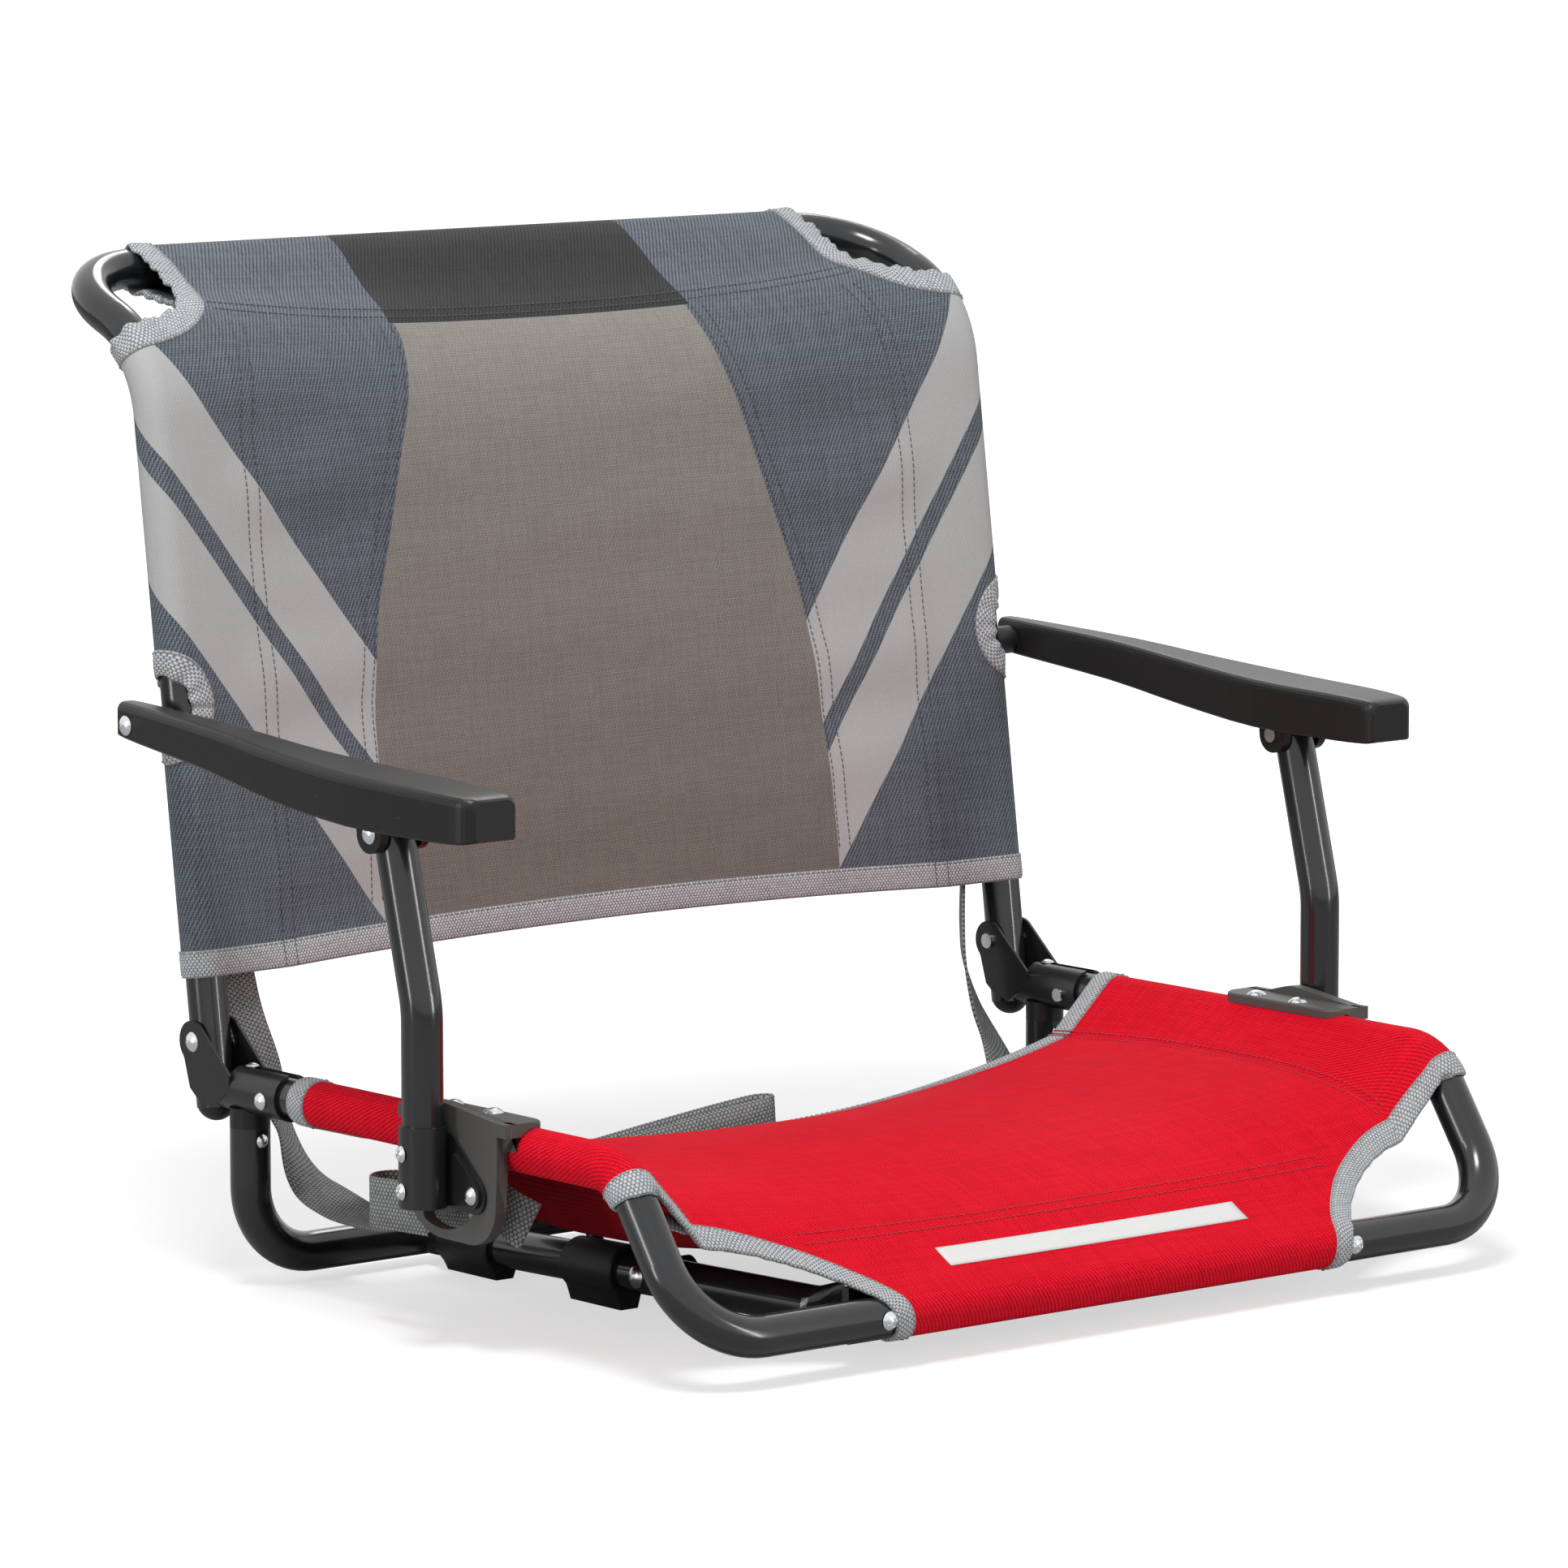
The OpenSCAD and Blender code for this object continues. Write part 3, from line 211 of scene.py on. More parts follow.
# Cross ribs of woven tape
def make_rib_group():
    group, given, out = new_group(
        "tape_ribs",
        [("Cloth Place", "NodeSocketVector", None), ("Rib Pitch", "NodeSocketFloat", 0.0015)],
        [("Height", "NodeSocketFloat"), ("Shade", "NodeSocketFloat")])
    part = put(group, "ShaderNodeSeparateXYZ", {0: given.outputs["Cloth Place"]})
    along = calc(group, "DIVIDE", part.outputs[0], given.outputs["Rib Pitch"])
    across = calc(group, "DIVIDE", part.outputs[1], given.outputs["Rib Pitch"])
    shift = calc(group, "MULTIPLY", calc(group, "FLOOR", calc(group, "MULTIPLY", across, 1.4)), 0.5)
    rib = calc(group, "ABSOLUTE", calc(group, "SINE", calc(
        group, "MULTIPLY", calc(group, "ADD", along, shift), math.pi)))
    thread = calc(group, "ABSOLUTE", calc(group, "SINE", calc(
        group, "MULTIPLY", across, 1.4 * math.pi)))
    height = calc(group, "MULTIPLY", calc(group, "POWER", rib, 0.6),
                  calc(group, "MULTIPLY_ADD", thread, 0.45, 0.55))
    group.links.new(height, out.inputs["Height"])
    own = thread_tone(group, calc(group, "FLOOR", along), calc(group, "MULTIPLY", across, 1.4))
    shade = calc(group, "ADD", calc(group, "MULTIPLY", height, 1.25),
                 calc(group, "MULTIPLY_ADD", own, 0.16, -0.24))
    shade = put(group, "ShaderNodeClamp", {0: shade}).outputs[0]
    group.links.new(shade, out.inputs["Shade"])
    return group


# Slow change of tone over a surface, and fine grain in it
def make_tone_group():
    group, given, out = new_group(
        "tone_and_grain",
        [("Patch Scale", "NodeSocketFloat", 30.0), ("Grain Scale", "NodeSocketFloat", 1500.0)],
        [("Tone", "NodeSocketFloat"), ("Grain", "NodeSocketFloat")])
    place = put(group, "ShaderNodeTexCoord").outputs["Object"]
    patch = put(group, "ShaderNodeTexNoise", {
        "Vector": place, "Scale": given.outputs["Patch Scale"], "Detail": 4.0, "Roughness": 0.6})
    grain = put(group, "ShaderNodeTexNoise", {
        "Vector": place, "Scale": given.outputs["Grain Scale"], "Detail": 2.0, "Roughness": 0.5})
    group.links.new(patch.outputs[0], out.inputs["Tone"])
    group.links.new(grain.outputs[0], out.inputs["Grain"])
    return group


# Light scuffs: thin scratches that show in a few patches
def make_scuff_group():
    group, given, out = new_group(
        "scuffs", [("Amount", "NodeSocketFloat", 0.3)], [("Mask", "NodeSocketFloat")])
    place = put(group, "ShaderNodeTexCoord").outputs["Object"]
    stretched = put(group, "ShaderNodeMapping", {"Vector": place, "Rotation": (0.4, 0.9, 0.3),
                                                 "Scale": (900.0, 60.0, 300.0)})
    lines = put(group, "ShaderNodeTexNoise", {"Vector": stretched.outputs[0], "Scale": 1.0,
                                              "Detail": 3.0, "Roughness": 0.7})
    patch = put(group, "ShaderNodeTexNoise", {"Vector": place, "Scale": 22.0, "Detail": 2.0})
    sharp = put(group, "ShaderNodeMapRange", {"Value": lines.outputs[0], "From Min": 0.66,
                                              "From Max": 0.74})
    area = put(group, "ShaderNodeMapRange", {"Value": patch.outputs[0], "From Min": 0.52,
                                             "From Max": 0.7})
    both = calc(group, "MULTIPLY", sharp.outputs[0], area.outputs[0])
    group.links.new(calc(group, "MULTIPLY", both, given.outputs["Amount"]), out.inputs["Mask"])
    return group


weave = make_weave_group()
ribs = make_rib_group()
tone = make_tone_group()
scuffs = make_scuff_group()


def cloth_place(tree):
    return put(tree, "ShaderNodeAttribute", attribute_name="cloth_place").outputs["Vector"]


# Coated steel tube: charcoal gloss with a faint orange peel
def make_tube_coat(name, base, roughness, coat, peel):
    material, tree, shader = new_material(name, roughness, coat=coat, level=0.5)
    grain = place_group(tree, tone, {"Patch Scale": 18.0, "Grain Scale": 420.0})
    worn = place_group(tree, scuffs, {"Amount": 0.35})
    lighter = tuple(c * 1.25 for c in base[:3]) + (1.0,)
    tinted = blend_colour(tree, grain.outputs["Tone"], base, lighter)
    scratched = blend_colour(tree, worn.outputs["Mask"], tinted, colour(0.2, 0.2, 0.21))
    tree.links.new(scratched, shader.inputs["Base Color"])
    rough = calc(tree, "MULTIPLY_ADD", grain.outputs["Tone"], 0.16, roughness - 0.08)
    tree.links.new(rough, shader.inputs["Roughness"])
    raise_surface(tree, shader, grain.outputs["Grain"], peel, 0.0002)
    return material


# Moulded plastic with a fine matt grain
def make_moulded(name, base, roughness, grain_scale, depth, level=0.35):
    material, tree, shader = new_material(name, roughness, level=level)
    grain = place_group(tree, tone, {"Patch Scale": 14.0, "Grain Scale": grain_scale})
    worn = place_group(tree, scuffs, {"Amount": 0.5})
    lighter = tuple(min(1.0, c * 1.3) for c in base[:3]) + (1.0,)
    tinted = blend_colour(tree, grain.outputs["Tone"], base, lighter)
    scratched = blend_colour(tree, worn.outputs["Mask"], tinted, colour(0.24, 0.24, 0.23))
    tree.links.new(scratched, shader.inputs["Base Color"])
    rough = calc(tree, "MULTIPLY_ADD", grain.outputs["Grain"], 0.14, roughness - 0.07)
    tree.links.new(rough, shader.inputs["Roughness"])
    raise_surface(tree, shader, grain.outputs["Grain"], depth, 0.0003)
    return material


# Bright zinc plate on rivets and screws
def make_zinc():
    material, tree, shader = new_material("bright_zinc", 0.22, metallic=1.0)
    grain = place_group(tree, tone, {"Patch Scale": 120.0, "Grain Scale": 1800.0})
    tinted = blend_colour(tree, grain.outputs["Tone"], colour(0.62, 0.64, 0.67),
                          colour(0.82, 0.84, 0.86))
    tree.links.new(tinted, shader.inputs["Base Color"])
    rough = calc(tree, "MULTIPLY_ADD", grain.outputs["Tone"], 0.22, 0.12)
    tree.links.new(rough, shader.inputs["Roughness"])
    raise_surface(tree, shader, grain.outputs["Grain"], 0.15, 0.0001)
    return material


# Woven cloth of one colour
def make_woven(name, dark, light, pitch, twill, roughness, depth):
    material, tree, shader = new_material(name, roughness, level=0.08)
    threads = place_group(tree, weave, {"Cloth Place": cloth_place(tree), "Thread Pitch": pitch,
                                        "Twill": twill, "Slub": 0.3})
    patches = place_group(tree, tone, {"Patch Scale": 9.0, "Grain Scale": 900.0})
    shade = calc(tree, "MULTIPLY", threads.outputs["Shade"],
                 calc(tree, "MULTIPLY_ADD", patches.outputs["Tone"], 0.3, 0.85))
    tree.links.new(blend_colour(tree, shade, dark, light), shader.inputs["Base Color"])
    height = calc(tree, "MULTIPLY_ADD", patches.outputs["Grain"], 0.35, threads.outputs["Height"])
    raise_surface(tree, shader, height, depth, 0.0004)
    return material


# Woven tape and webbing
def make_tape(name, dark, light, pitch, depth):
    material, tree, shader = new_material(name, 0.8, level=0.25)
    threads = place_group(tree, ribs, {"Cloth Place": cloth_place(tree), "Rib Pitch": pitch})
    patches = place_group(tree, tone, {"Patch Scale": 25.0, "Grain Scale": 1100.0})
    shade = calc(tree, "MULTIPLY", threads.outputs["Shade"],
                 calc(tree, "MULTIPLY_ADD", patches.outputs["Tone"], 0.3, 0.85))
    tree.links.new(blend_colour(tree, shade, dark, light), shader.inputs["Base Color"])
    raise_surface(tree, shader, threads.outputs["Height"], depth, 0.0005)
    return material


# A mask that is 1 between two values
def band(tree, value, low, high):
    above = calc(tree, "GREATER_THAN", value, low)
    below = calc(tree, "LESS_THAN", value, high)
    return calc(tree, "MULTIPLY", above, below)


# The printed stripes rise beside the middle at one slope, and each fills a band of it; the net
# ends at the top panel. In metres on the flat cloth
STRIPE_SLOPE = 1.362
UPPER_STRIPE = (-0.0743, -0.0128)
LOWER_STRIPE = (-0.1547, -0.0912)
NET_TOP = 0.3545


# The back's cloth: open mesh in the middle, a black panel over the top, slate sides with
# printed light stripes
def make_back_cloth():
    material, tree, shader = new_material("back_cloth", 0.72, level=0.3)
    place = cloth_place(tree)
    part = put(tree, "ShaderNodeSeparateXYZ", {0: place})
    across = calc(tree, "ABSOLUTE", part.outputs[0])
    along = part.outputs[1]
    plain = place_group(tree, weave, {"Cloth Place": place, "Thread Pitch": 0.00125, "Twill": 0.8,
                                      "Slub": 0.26})
    fine = place_group(tree, weave, {"Cloth Place": place, "Thread Pitch": 0.00105, "Slub": 0.25})
    knit = place_group(tree, weave, {"Cloth Place": place, "Thread Pitch": 0.00095, "Slub": 0.3})
    patches = place_group(tree, tone, {"Patch Scale": 9.0, "Grain Scale": 900.0})
    slate = blend_colour(tree, plain.outputs["Shade"], colour(0.012, 0.015, 0.021),
                         colour(0.2, 0.232, 0.278))
    print_tone = blend_colour(tree, fine.outputs["Shade"], colour(0.42, 0.424, 0.421),
                              colour(0.51, 0.516, 0.514))
    black = blend_colour(tree, plain.outputs["Shade"], colour(0.001, 0.001, 0.001),
                         colour(0.036, 0.037, 0.039))
    # The net is painted darker low down and lighter higher up: painted shade below and painted
    # light above, standing in for light falling from above
    net_painted_shade = blend_colour(tree, knit.outputs["Shade"], colour(0.09, 0.078, 0.068),
                           colour(0.26, 0.235, 0.21))
    net_painted_light = blend_colour(tree, knit.outputs["Shade"], colour(0.14, 0.13, 0.118),
                            colour(0.4, 0.375, 0.345))
    painted_light_rise = put(tree, "ShaderNodeMapRange", {"Value": along, "From Min": 0.05, "From Max": 0.35})
    net = blend_colour(tree, painted_light_rise.outputs[0], net_painted_shade, net_painted_light)
    slant = calc(tree, "SUBTRACT", along, calc(tree, "MULTIPLY", across, STRIPE_SLOPE))
    upper = band(tree, slant, *UPPER_STRIPE)
    lower = band(tree, slant, *LOWER_STRIPE)
    stripe = calc(tree, "ADD", upper, lower)
    side = blend_colour(tree, stripe, slate, print_tone)
    edge = put(tree, "ShaderNodeFloatCurve", {"Value": calc(tree, "MULTIPLY", along, 2.5)})
    curve = edge.mapping.curves[0]
    edge_points = [(0.032, 0.149), (0.10, 0.147), (0.16, 0.1425), (0.20, 0.1365), (0.25, 0.1215),
                   (0.28, 0.1135), (0.31, 0.1035), (0.33, 0.0985), (0.345, 0.0955), (0.4, 0.096)]
    curve.points[0].location = (0.0, 0.149 * 5)
    curve.points[1].location = (1.0, 0.096 * 5)
    for h, w in edge_points[:-1]:
        curve.points.new(h * 2.5, w * 5)
    edge.mapping.update()
    half_width = calc(tree, "MULTIPLY", edge.outputs[0], 0.2)
    inside = calc(tree, "LESS_THAN", across, half_width)
    is_net = calc(tree, "MULTIPLY", inside, calc(tree, "LESS_THAN", along, NET_TOP))
    top_inside = calc(tree, "LESS_THAN", across, calc(tree, "MULTIPLY_ADD", calc(
        tree, "SUBTRACT", along, 0.354), -0.06, 0.0975))
    is_black = calc(tree, "MULTIPLY", top_inside, calc(tree, "GREATER_THAN", along, NET_TOP))
    base = blend_colour(tree, is_net, side, net)
    base = blend_colour(tree, is_black, base, black)
    worn = blend_colour(tree, calc(tree, "MULTIPLY", patches.outputs["Tone"], 0.05), base,
                        colour(0.3, 0.3, 0.3))
    tree.links.new(worn, shader.inputs["Base Color"])
    printed = calc(tree, "MULTIPLY", stripe, calc(tree, "SUBTRACT", 1.0, is_net))
    height = calc(tree, "MULTIPLY", plain.outputs["Height"],
                  calc(tree, "MULTIPLY_ADD", printed, -0.65, 1.0))
    raise_surface(tree, shader, height, 0.5, 0.0004)
    return material


def make_label():
    material, tree, shader = new_material("label_satin", 0.55)
    threads = place_group(tree, weave, {"Cloth Place": cloth_place(tree), "Thread Pitch": 0.0004,
                                        "Twill": 0.0})
    tree.links.new(blend_colour(tree, threads.outputs["Shade"], colour(0.7, 0.69, 0.68),
                                colour(0.86, 0.86, 0.85)), shader.inputs["Base Color"])
    raise_surface(tree, shader, threads.outputs["Height"], 0.2, 0.0001)
    return material


def make_thread(name, dark, light):
    material, tree, shader = new_material(name, 0.6, sheen=0.3)
    grain = place_group(tree, tone, {"Patch Scale": 200.0, "Grain Scale": 2500.0})
    tree.links.new(blend_colour(tree, grain.outputs["Grain"], dark, light),
                   shader.inputs["Base Color"])
    return material


tube_coat = make_tube_coat("tube_coat", colour(0.0115, 0.0124, 0.014), 0.2, 0.3, 0.06)
satin_coat = make_tube_coat("satin_coat", colour(0.011, 0.0112, 0.012), 0.3, 0.0, 0.2)
arm_plastic = make_moulded("arm_plastic", colour(0.014, 0.0138, 0.0132), 0.34, 1500.0, 0.2,
                           level=0.26)
clamp_plastic = make_moulded("clamp_plastic", colour(0.075, 0.073, 0.069), 0.5, 1500.0, 0.25)
cap_plastic = make_moulded("cap_plastic", colour(0.016, 0.016, 0.017), 0.42, 1200.0, 0.2)
zinc = make_zinc()
red_cloth = make_woven("red_cloth", colour(0.42, 0.001, 0.008), colour(1.0, 0.01, 0.034), 0.00125,
                       0.8, 0.75, 0.4)
# The seat's red cloth darkened for the under layer: painted shade for the shadow beneath the seat
red_cloth_painted_shade = make_woven("red_cloth_painted_shade", colour(0.1, 0.001, 0.003), colour(0.3, 0.003, 0.01), 0.00125,
                        0.0, 0.8, 0.3)
back_cloth = make_back_cloth()
grey_tape = make_tape("grey_tape", colour(0.06, 0.066, 0.072), colour(0.66, 0.68, 0.705), 0.002,
                      0.6)
webbing = make_tape("grey_webbing", colour(0.012, 0.013, 0.013), colour(0.37, 0.382, 0.38), 0.0026,
                    0.8)
label_cloth = make_label()
grey_thread = make_thread("grey_thread", colour(0.03, 0.03, 0.032), colour(0.09, 0.09, 0.095))
pale_thread = make_thread("pale_thread", colour(0.2, 0.21, 0.22), colour(0.42, 0.43, 0.44))
red_thread = make_thread("red_thread", colour(0.2, 0.0, 0.002), colour(0.5, 0.01, 0.012))


def smooth_step(value):
    value = np.clip(value, 0.0, 1.0)
    return value * value * (3.0 - 2.0 * value)


# Smooth curve through stations, read at any place
def curve_at(stations, values, at):
    stations = np.asarray(stations, float)
    values = np.asarray(values, float)
    slopes = np.gradient(values, stations)
    k = np.clip(np.searchsorted(stations, at, side="right") - 1, 0, len(stations) - 2)
    span = stations[k + 1] - stations[k]
    t = (at - stations[k]) / span
    a, b = values[k], values[k + 1]
    return ((2 * t**3 - 3 * t**2 + 1) * a + (t**3 - 2 * t**2 + t) * span * slopes[k]
            + (3 * t**2 - 2 * t**3) * b + (t**3 - t**2) * span * slopes[k + 1])


# Tangent from a point to a circle about the origin: the angle of the place where it touches
def touch_angle(px, pz, radius, side):
    return np.arctan2(pz, px) + side * np.arccos(radius / np.hypot(px, pz))


# The back's cloth. s runs across it from the middle, along the cloth and round the posts, and
# h runs up it from the hinge's height, over the rolled top and round the top tube
BACK_SEAM = 45.0
SEAM_PUSH = 7.85
BACK_SAG = 10.0
BEND_TAN = math.tan((ROLL_LEAN - LEAN) / 2)
BEND_TURN = ROLL_LEAN - LEAN
TOP_H = POST_RISE - ROLL_R * BEND_TAN + ROLL_R * BEND_TURN + ROLL_LEN - ROLL_R * BEND_TAN
POCKET_H = 360.0
TOP_Y = POST_RISE * math.sin(LEAN) + ROLL_LEN * math.sin(ROLL_LEAN)
TOP_Z = POST_RISE * math.cos(LEAN) + ROLL_LEN * math.cos(ROLL_LEAN)
BACK_TURN = math.radians(200.7)
BACK_ROUND = SLEEVE_R * BACK_TURN
BACK_RETURN = 44.0
BACK_EDGE = SIDE_X + BACK_ROUND + BACK_RETURN
TOP_ROUND = 36.5
TOP_RETURN = 60.0
TOP_EDGE = TOP_H + TOP_ROUND + TOP_RETURN


# Where a point across the back lies: distance from the middle, and push out to the front
def back_across(d):
    seam = SIDE_X - BACK_SEAM
    u = np.clip(d / seam, 0.0, 1.0)
    panel = SEAM_PUSH - BACK_SAG * (1 - u**2.2)
    lead = SEAM_PUSH + (SLEEVE_R - SEAM_PUSH) * smooth_step((d - seam) / BACK_SEAM)
    turn = np.clip((d - SIDE_X) / SLEEVE_R, 0.0, BACK_TURN)
    back = np.clip((d - SIDE_X - BACK_ROUND) / BACK_RETURN, 0.0, 1.0)
    round_x = SIDE_X + SLEEVE_R * np.sin(turn)
    round_p = SLEEVE_R * np.cos(turn)
    x = np.where(d <= SIDE_X, d, round_x + (seam + 1.0 - round_x) * back)
    p = np.where(d <= seam, panel, np.where(d <= SIDE_X, lead, round_p))
    p = p + (SEAM_PUSH - 2.2 - round_p) * back
    return x, p


# The line that the cloth follows in height and depth, with its outward direction
def back_spine(x, h):
    u = np.clip(x / (SIDE_X - BACK_SEAM), 0.0, 1.0)
    r = ROLL_R + 30.0 * (1 - u * u)
    first = POST_RISE - r * BEND_TAN
    whole = first + r * BEND_TURN + ROLL_LEN - r * BEND_TAN
    q = h + (whole - TOP_H) * smooth_step((h - 250.0) / (TOP_H - 250.0))
    turn = np.clip((q - first) / r, 0.0, BEND_TURN)
    angle = LEAN + turn
    straight = np.minimum(q, first)
    y = straight * math.sin(LEAN) + r * (np.cos(LEAN) - np.cos(angle))
    z = straight * math.cos(LEAN) + r * (np.sin(angle) - np.sin(LEAN))
    rest = np.clip(q - first - r * BEND_TURN, 0.0, None)
    y = y + rest * math.sin(ROLL_LEAN)
    z = z + rest * math.cos(ROLL_LEAN)
    return y, z, angle


def back_ripple(s, h):
    wave = (0.5 * np.sin(h / 13.0 + 1.3 * np.sin(s / 70.0) + 0.4)
            + 0.35 * np.sin(h / 7.7 - s / 95.0 + 2.1)
            + 0.45 * np.sin(h / 29.0 + s / 53.0 + 0.7))
    seam = SIDE_X - BACK_SEAM
    calm = smooth_step((seam + 30 - np.abs(s)) / 40) * smooth_step((TOP_H - h) / 50)
    side = smooth_step((np.abs(s) - 120.0) / 40.0)
    return (0.6 + 0.9 * side) * wave * calm


def back_point(s, h):
    side = np.where(s < 0, -1.0, 1.0)
    d = np.abs(s)
    x, p = back_across(d)
    y, z, angle = back_spine(x, np.minimum(h, TOP_H))
    near_top = smooth_step((h - 372.0) / (TOP_H - 372.0)) * (d < SIDE_X)
    p = p + (SLEEVE_R - p) * near_top + back_ripple(s, h)
    y0 = y - p * np.cos(angle)
    z0 = z + p * np.sin(angle)
    # Round the top tube, then back under it to the seam
    ys, zs, seam_angle = back_spine(x, np.full_like(h, POCKET_H))
    seam_p = back_across(d)[1] - 1.6
    seam_y = ys - seam_p * np.cos(seam_angle) - TOP_Y
    seam_z = zs + seam_p * np.sin(seam_angle) - TOP_Z
    last = np.mod(touch_angle(-seam_y, seam_z, SLEEVE_R, -1.0), 2 * math.pi)
    turn = np.clip((h - TOP_H) / TOP_ROUND, 0.0, 1.0)
    a = ROLL_LEAN + (last - ROLL_LEAN) * turn
    wrap_y = TOP_Y - SLEEVE_R * np.cos(a)
    wrap_z = TOP_Z + SLEEVE_R * np.sin(a)
    under = np.clip((h - TOP_H - TOP_ROUND) / TOP_RETURN, 0.0, 1.0)
    wrap_y = wrap_y + (seam_y + TOP_Y - wrap_y) * under
    wrap_z = wrap_z + (seam_z + TOP_Z - wrap_z) * under
    over = h > TOP_H
    y = np.where(over, wrap_y, y0)
    z = np.where(over, wrap_z, z0)
    return np.stack([side * x, HINGE_Y + y, HINGE_Z + z], -1)


# The seat's cloth. s runs across it and round the rails, and a runs forward from the hinge and
# round the front rail
SEAT_SEAM = 35.0
RAIL_BEND_R = 33.0
RAIL_STRAIGHT = 309.7
RAMP_END = 365.0
FRONT_SEAM = 344.0
SEAT_A = [78, 112, 150, 200, 250, 290, 320, 345, 365]
SEAT_HALF = [225, 225, 225, 225, 225, 225, 223, 176, 149]
SEAT_MID = [-45.5, -36, -28, -23, -23, -28, -35.5, -44.5, -56]
SEAT_SIDE = [-18.5, -15.5, -13, -12, -12.5, -16, -23, -42, -55]
LEAD_LEN = 36.5
RAIL_ROUND = 40.3
SEAT_EDGE = SIDE_X - SEAT_SEAM + 2 * LEAD_LEN + RAIL_ROUND
RAMP_LEN = 21.4
FRONT_ROUND = 39.3
FRONT_RETURN = 44.3
FRONT_EDGE = RAMP_END + RAMP_LEN + FRONT_ROUND + FRONT_RETURN


def seat_height(x, a):
    half = curve_at(SEAT_A, SEAT_HALF, a)
    mid = curve_at(SEAT_A, SEAT_MID, a)
    side = curve_at(SEAT_A, SEAT_SIDE, a)
    u = np.clip(x / half, 0.0, 1.16)
    return mid + (side - mid) * u**2.2


def seat_ripple(s, a):
    wave = (0.6 * np.sin(a / 23.0 + np.sin(s / 80.0)) + 0.4 * np.sin(a / 9.0 + s / 31.0)
            + 0.5 * np.sin(s / 37.0 - a / 61.0))
    return 0.45 * wave * smooth_step((230 - np.abs(s)) / 60) * smooth_step((360 - a) / 40)


def seat_point(s, a):
    side = np.where(s < 0, -1.0, 1.0)
    d = np.abs(s)
    seam_x = SIDE_X - SEAT_SEAM
    flat_a = np.minimum(a, RAMP_END)
    x = np.minimum(d, seam_x)
    z = seat_height(x, flat_a) + seat_ripple(s, a)
    y = flat_a
    # The sleeve round the rail
    turn = np.clip((a - RAIL_STRAIGHT) / RAIL_BEND_R, 0.0, math.radians(55.4))
    rail_y = np.minimum(a, RAIL_STRAIGHT) + RAIL_BEND_R * np.sin(turn)
    rail_z = -RAIL_BEND_R * (1 - np.cos(turn))
    seam_z = seat_height(np.full_like(d, seam_x), np.minimum(a, 345.0)) - rail_z
    first = touch_angle(np.full_like(d, -SEAT_SEAM), seam_z, SLEEVE_R, -1.0)
    first = np.mod(first, 2 * math.pi)
    last = touch_angle(np.full_like(d, 2.0 - SEAT_SEAM), seam_z - 2.2, SLEEVE_R, 1.0)
    last = np.mod(last, 2 * math.pi) - 2 * math.pi
    lead = np.clip((d - seam_x) / LEAD_LEN, 0.0, 1.0)
    share = np.clip((d - seam_x - LEAD_LEN) / RAIL_ROUND, 0.0, 1.0)
    back = np.clip((d - seam_x - LEAD_LEN - RAIL_ROUND) / LEAD_LEN, 0.0, 1.0)
    angle = first + (last - first) * share
    cx = SLEEVE_R * np.cos(angle)
    cu = SLEEVE_R * np.sin(angle)
    ring_x = SIDE_X + cx
    ring_y = rail_y + cu * np.sin(turn)
    ring_z = rail_z + cu * np.cos(turn)
    x = x + (ring_x - x) * lead + (seam_x + 2.0 - ring_x) * back
    y = y + (ring_y - y) * lead + (flat_a - ring_y) * back
    z = z + (ring_z - z) * lead + (seam_z + rail_z - 2.2 - ring_z) * back
    # Down the ramp, round the front rail and back under it
    start_z = z + RAIL_Z - FRONT_Z
    start_y = RAMP_END - SEAT_DEPTH
    meet = touch_angle(np.full_like(d, start_y), start_z, SLEEVE_R, -1.0)
    seam_back = FRONT_SEAM - SEAT_DEPTH
    seam_up = seat_height(np.minimum(d, 150.0), np.full_like(d, FRONT_SEAM))
    seam_up = seam_up - 1.8 + RAIL_Z - FRONT_Z
    leave = np.mod(touch_angle(np.full_like(d, seam_back), seam_up, SLEEVE_R, 1.0), 2 * math.pi)
    leave = leave - 2 * math.pi
    ramp = np.clip((a - RAMP_END) / RAMP_LEN, 0.0, 1.0)
    share = np.clip((a - RAMP_END - RAMP_LEN) / FRONT_ROUND, 0.0, 1.0)
    under = np.clip((a - RAMP_END - RAMP_LEN - FRONT_ROUND) / FRONT_RETURN, 0.0, 1.0)
    angle = meet + (leave - meet) * share
    fy = SLEEVE_R * np.cos(angle)
    fz = SLEEVE_R * np.sin(angle)
    front_y = start_y + (fy - start_y) * ramp + (seam_back - fy) * under
    front_z = start_z + (fz - start_z) * ramp + (seam_up - fz) * under
    past = a > RAMP_END
    y = np.where(past, SEAT_DEPTH + front_y, y)
    z = np.where(past, FRONT_Z - RAIL_Z + front_z, z)
    return np.stack([side * x, HINGE_Y - y, RAIL_Z + z], -1)


# Points on a cloth, lifted from it along its outward direction
def lifted(place, s, t, lift, front):
    s = np.asarray(s, float)
    t = np.asarray(t, float)
    step = 0.4
    point = place(s, t)
    across = place(s + step, t) - place(s - step, t)
    along = place(s, t + step) - place(s, t - step)
    normal = np.cross(across, along) * front
    normal /= np.maximum(np.linalg.norm(normal, axis=-1, keepdims=True), 1e-9)
    return point + normal * np.asarray(lift)[..., None]


def back_at(s, h, lift=0.0):
    return lifted(back_point, s, h, np.broadcast_to(lift, np.shape(s)), 1.0)


def seat_at(s, a, lift=0.0):
    return lifted(seat_point, s, a, np.broadcast_to(lift, np.shape(s)), -1.0)


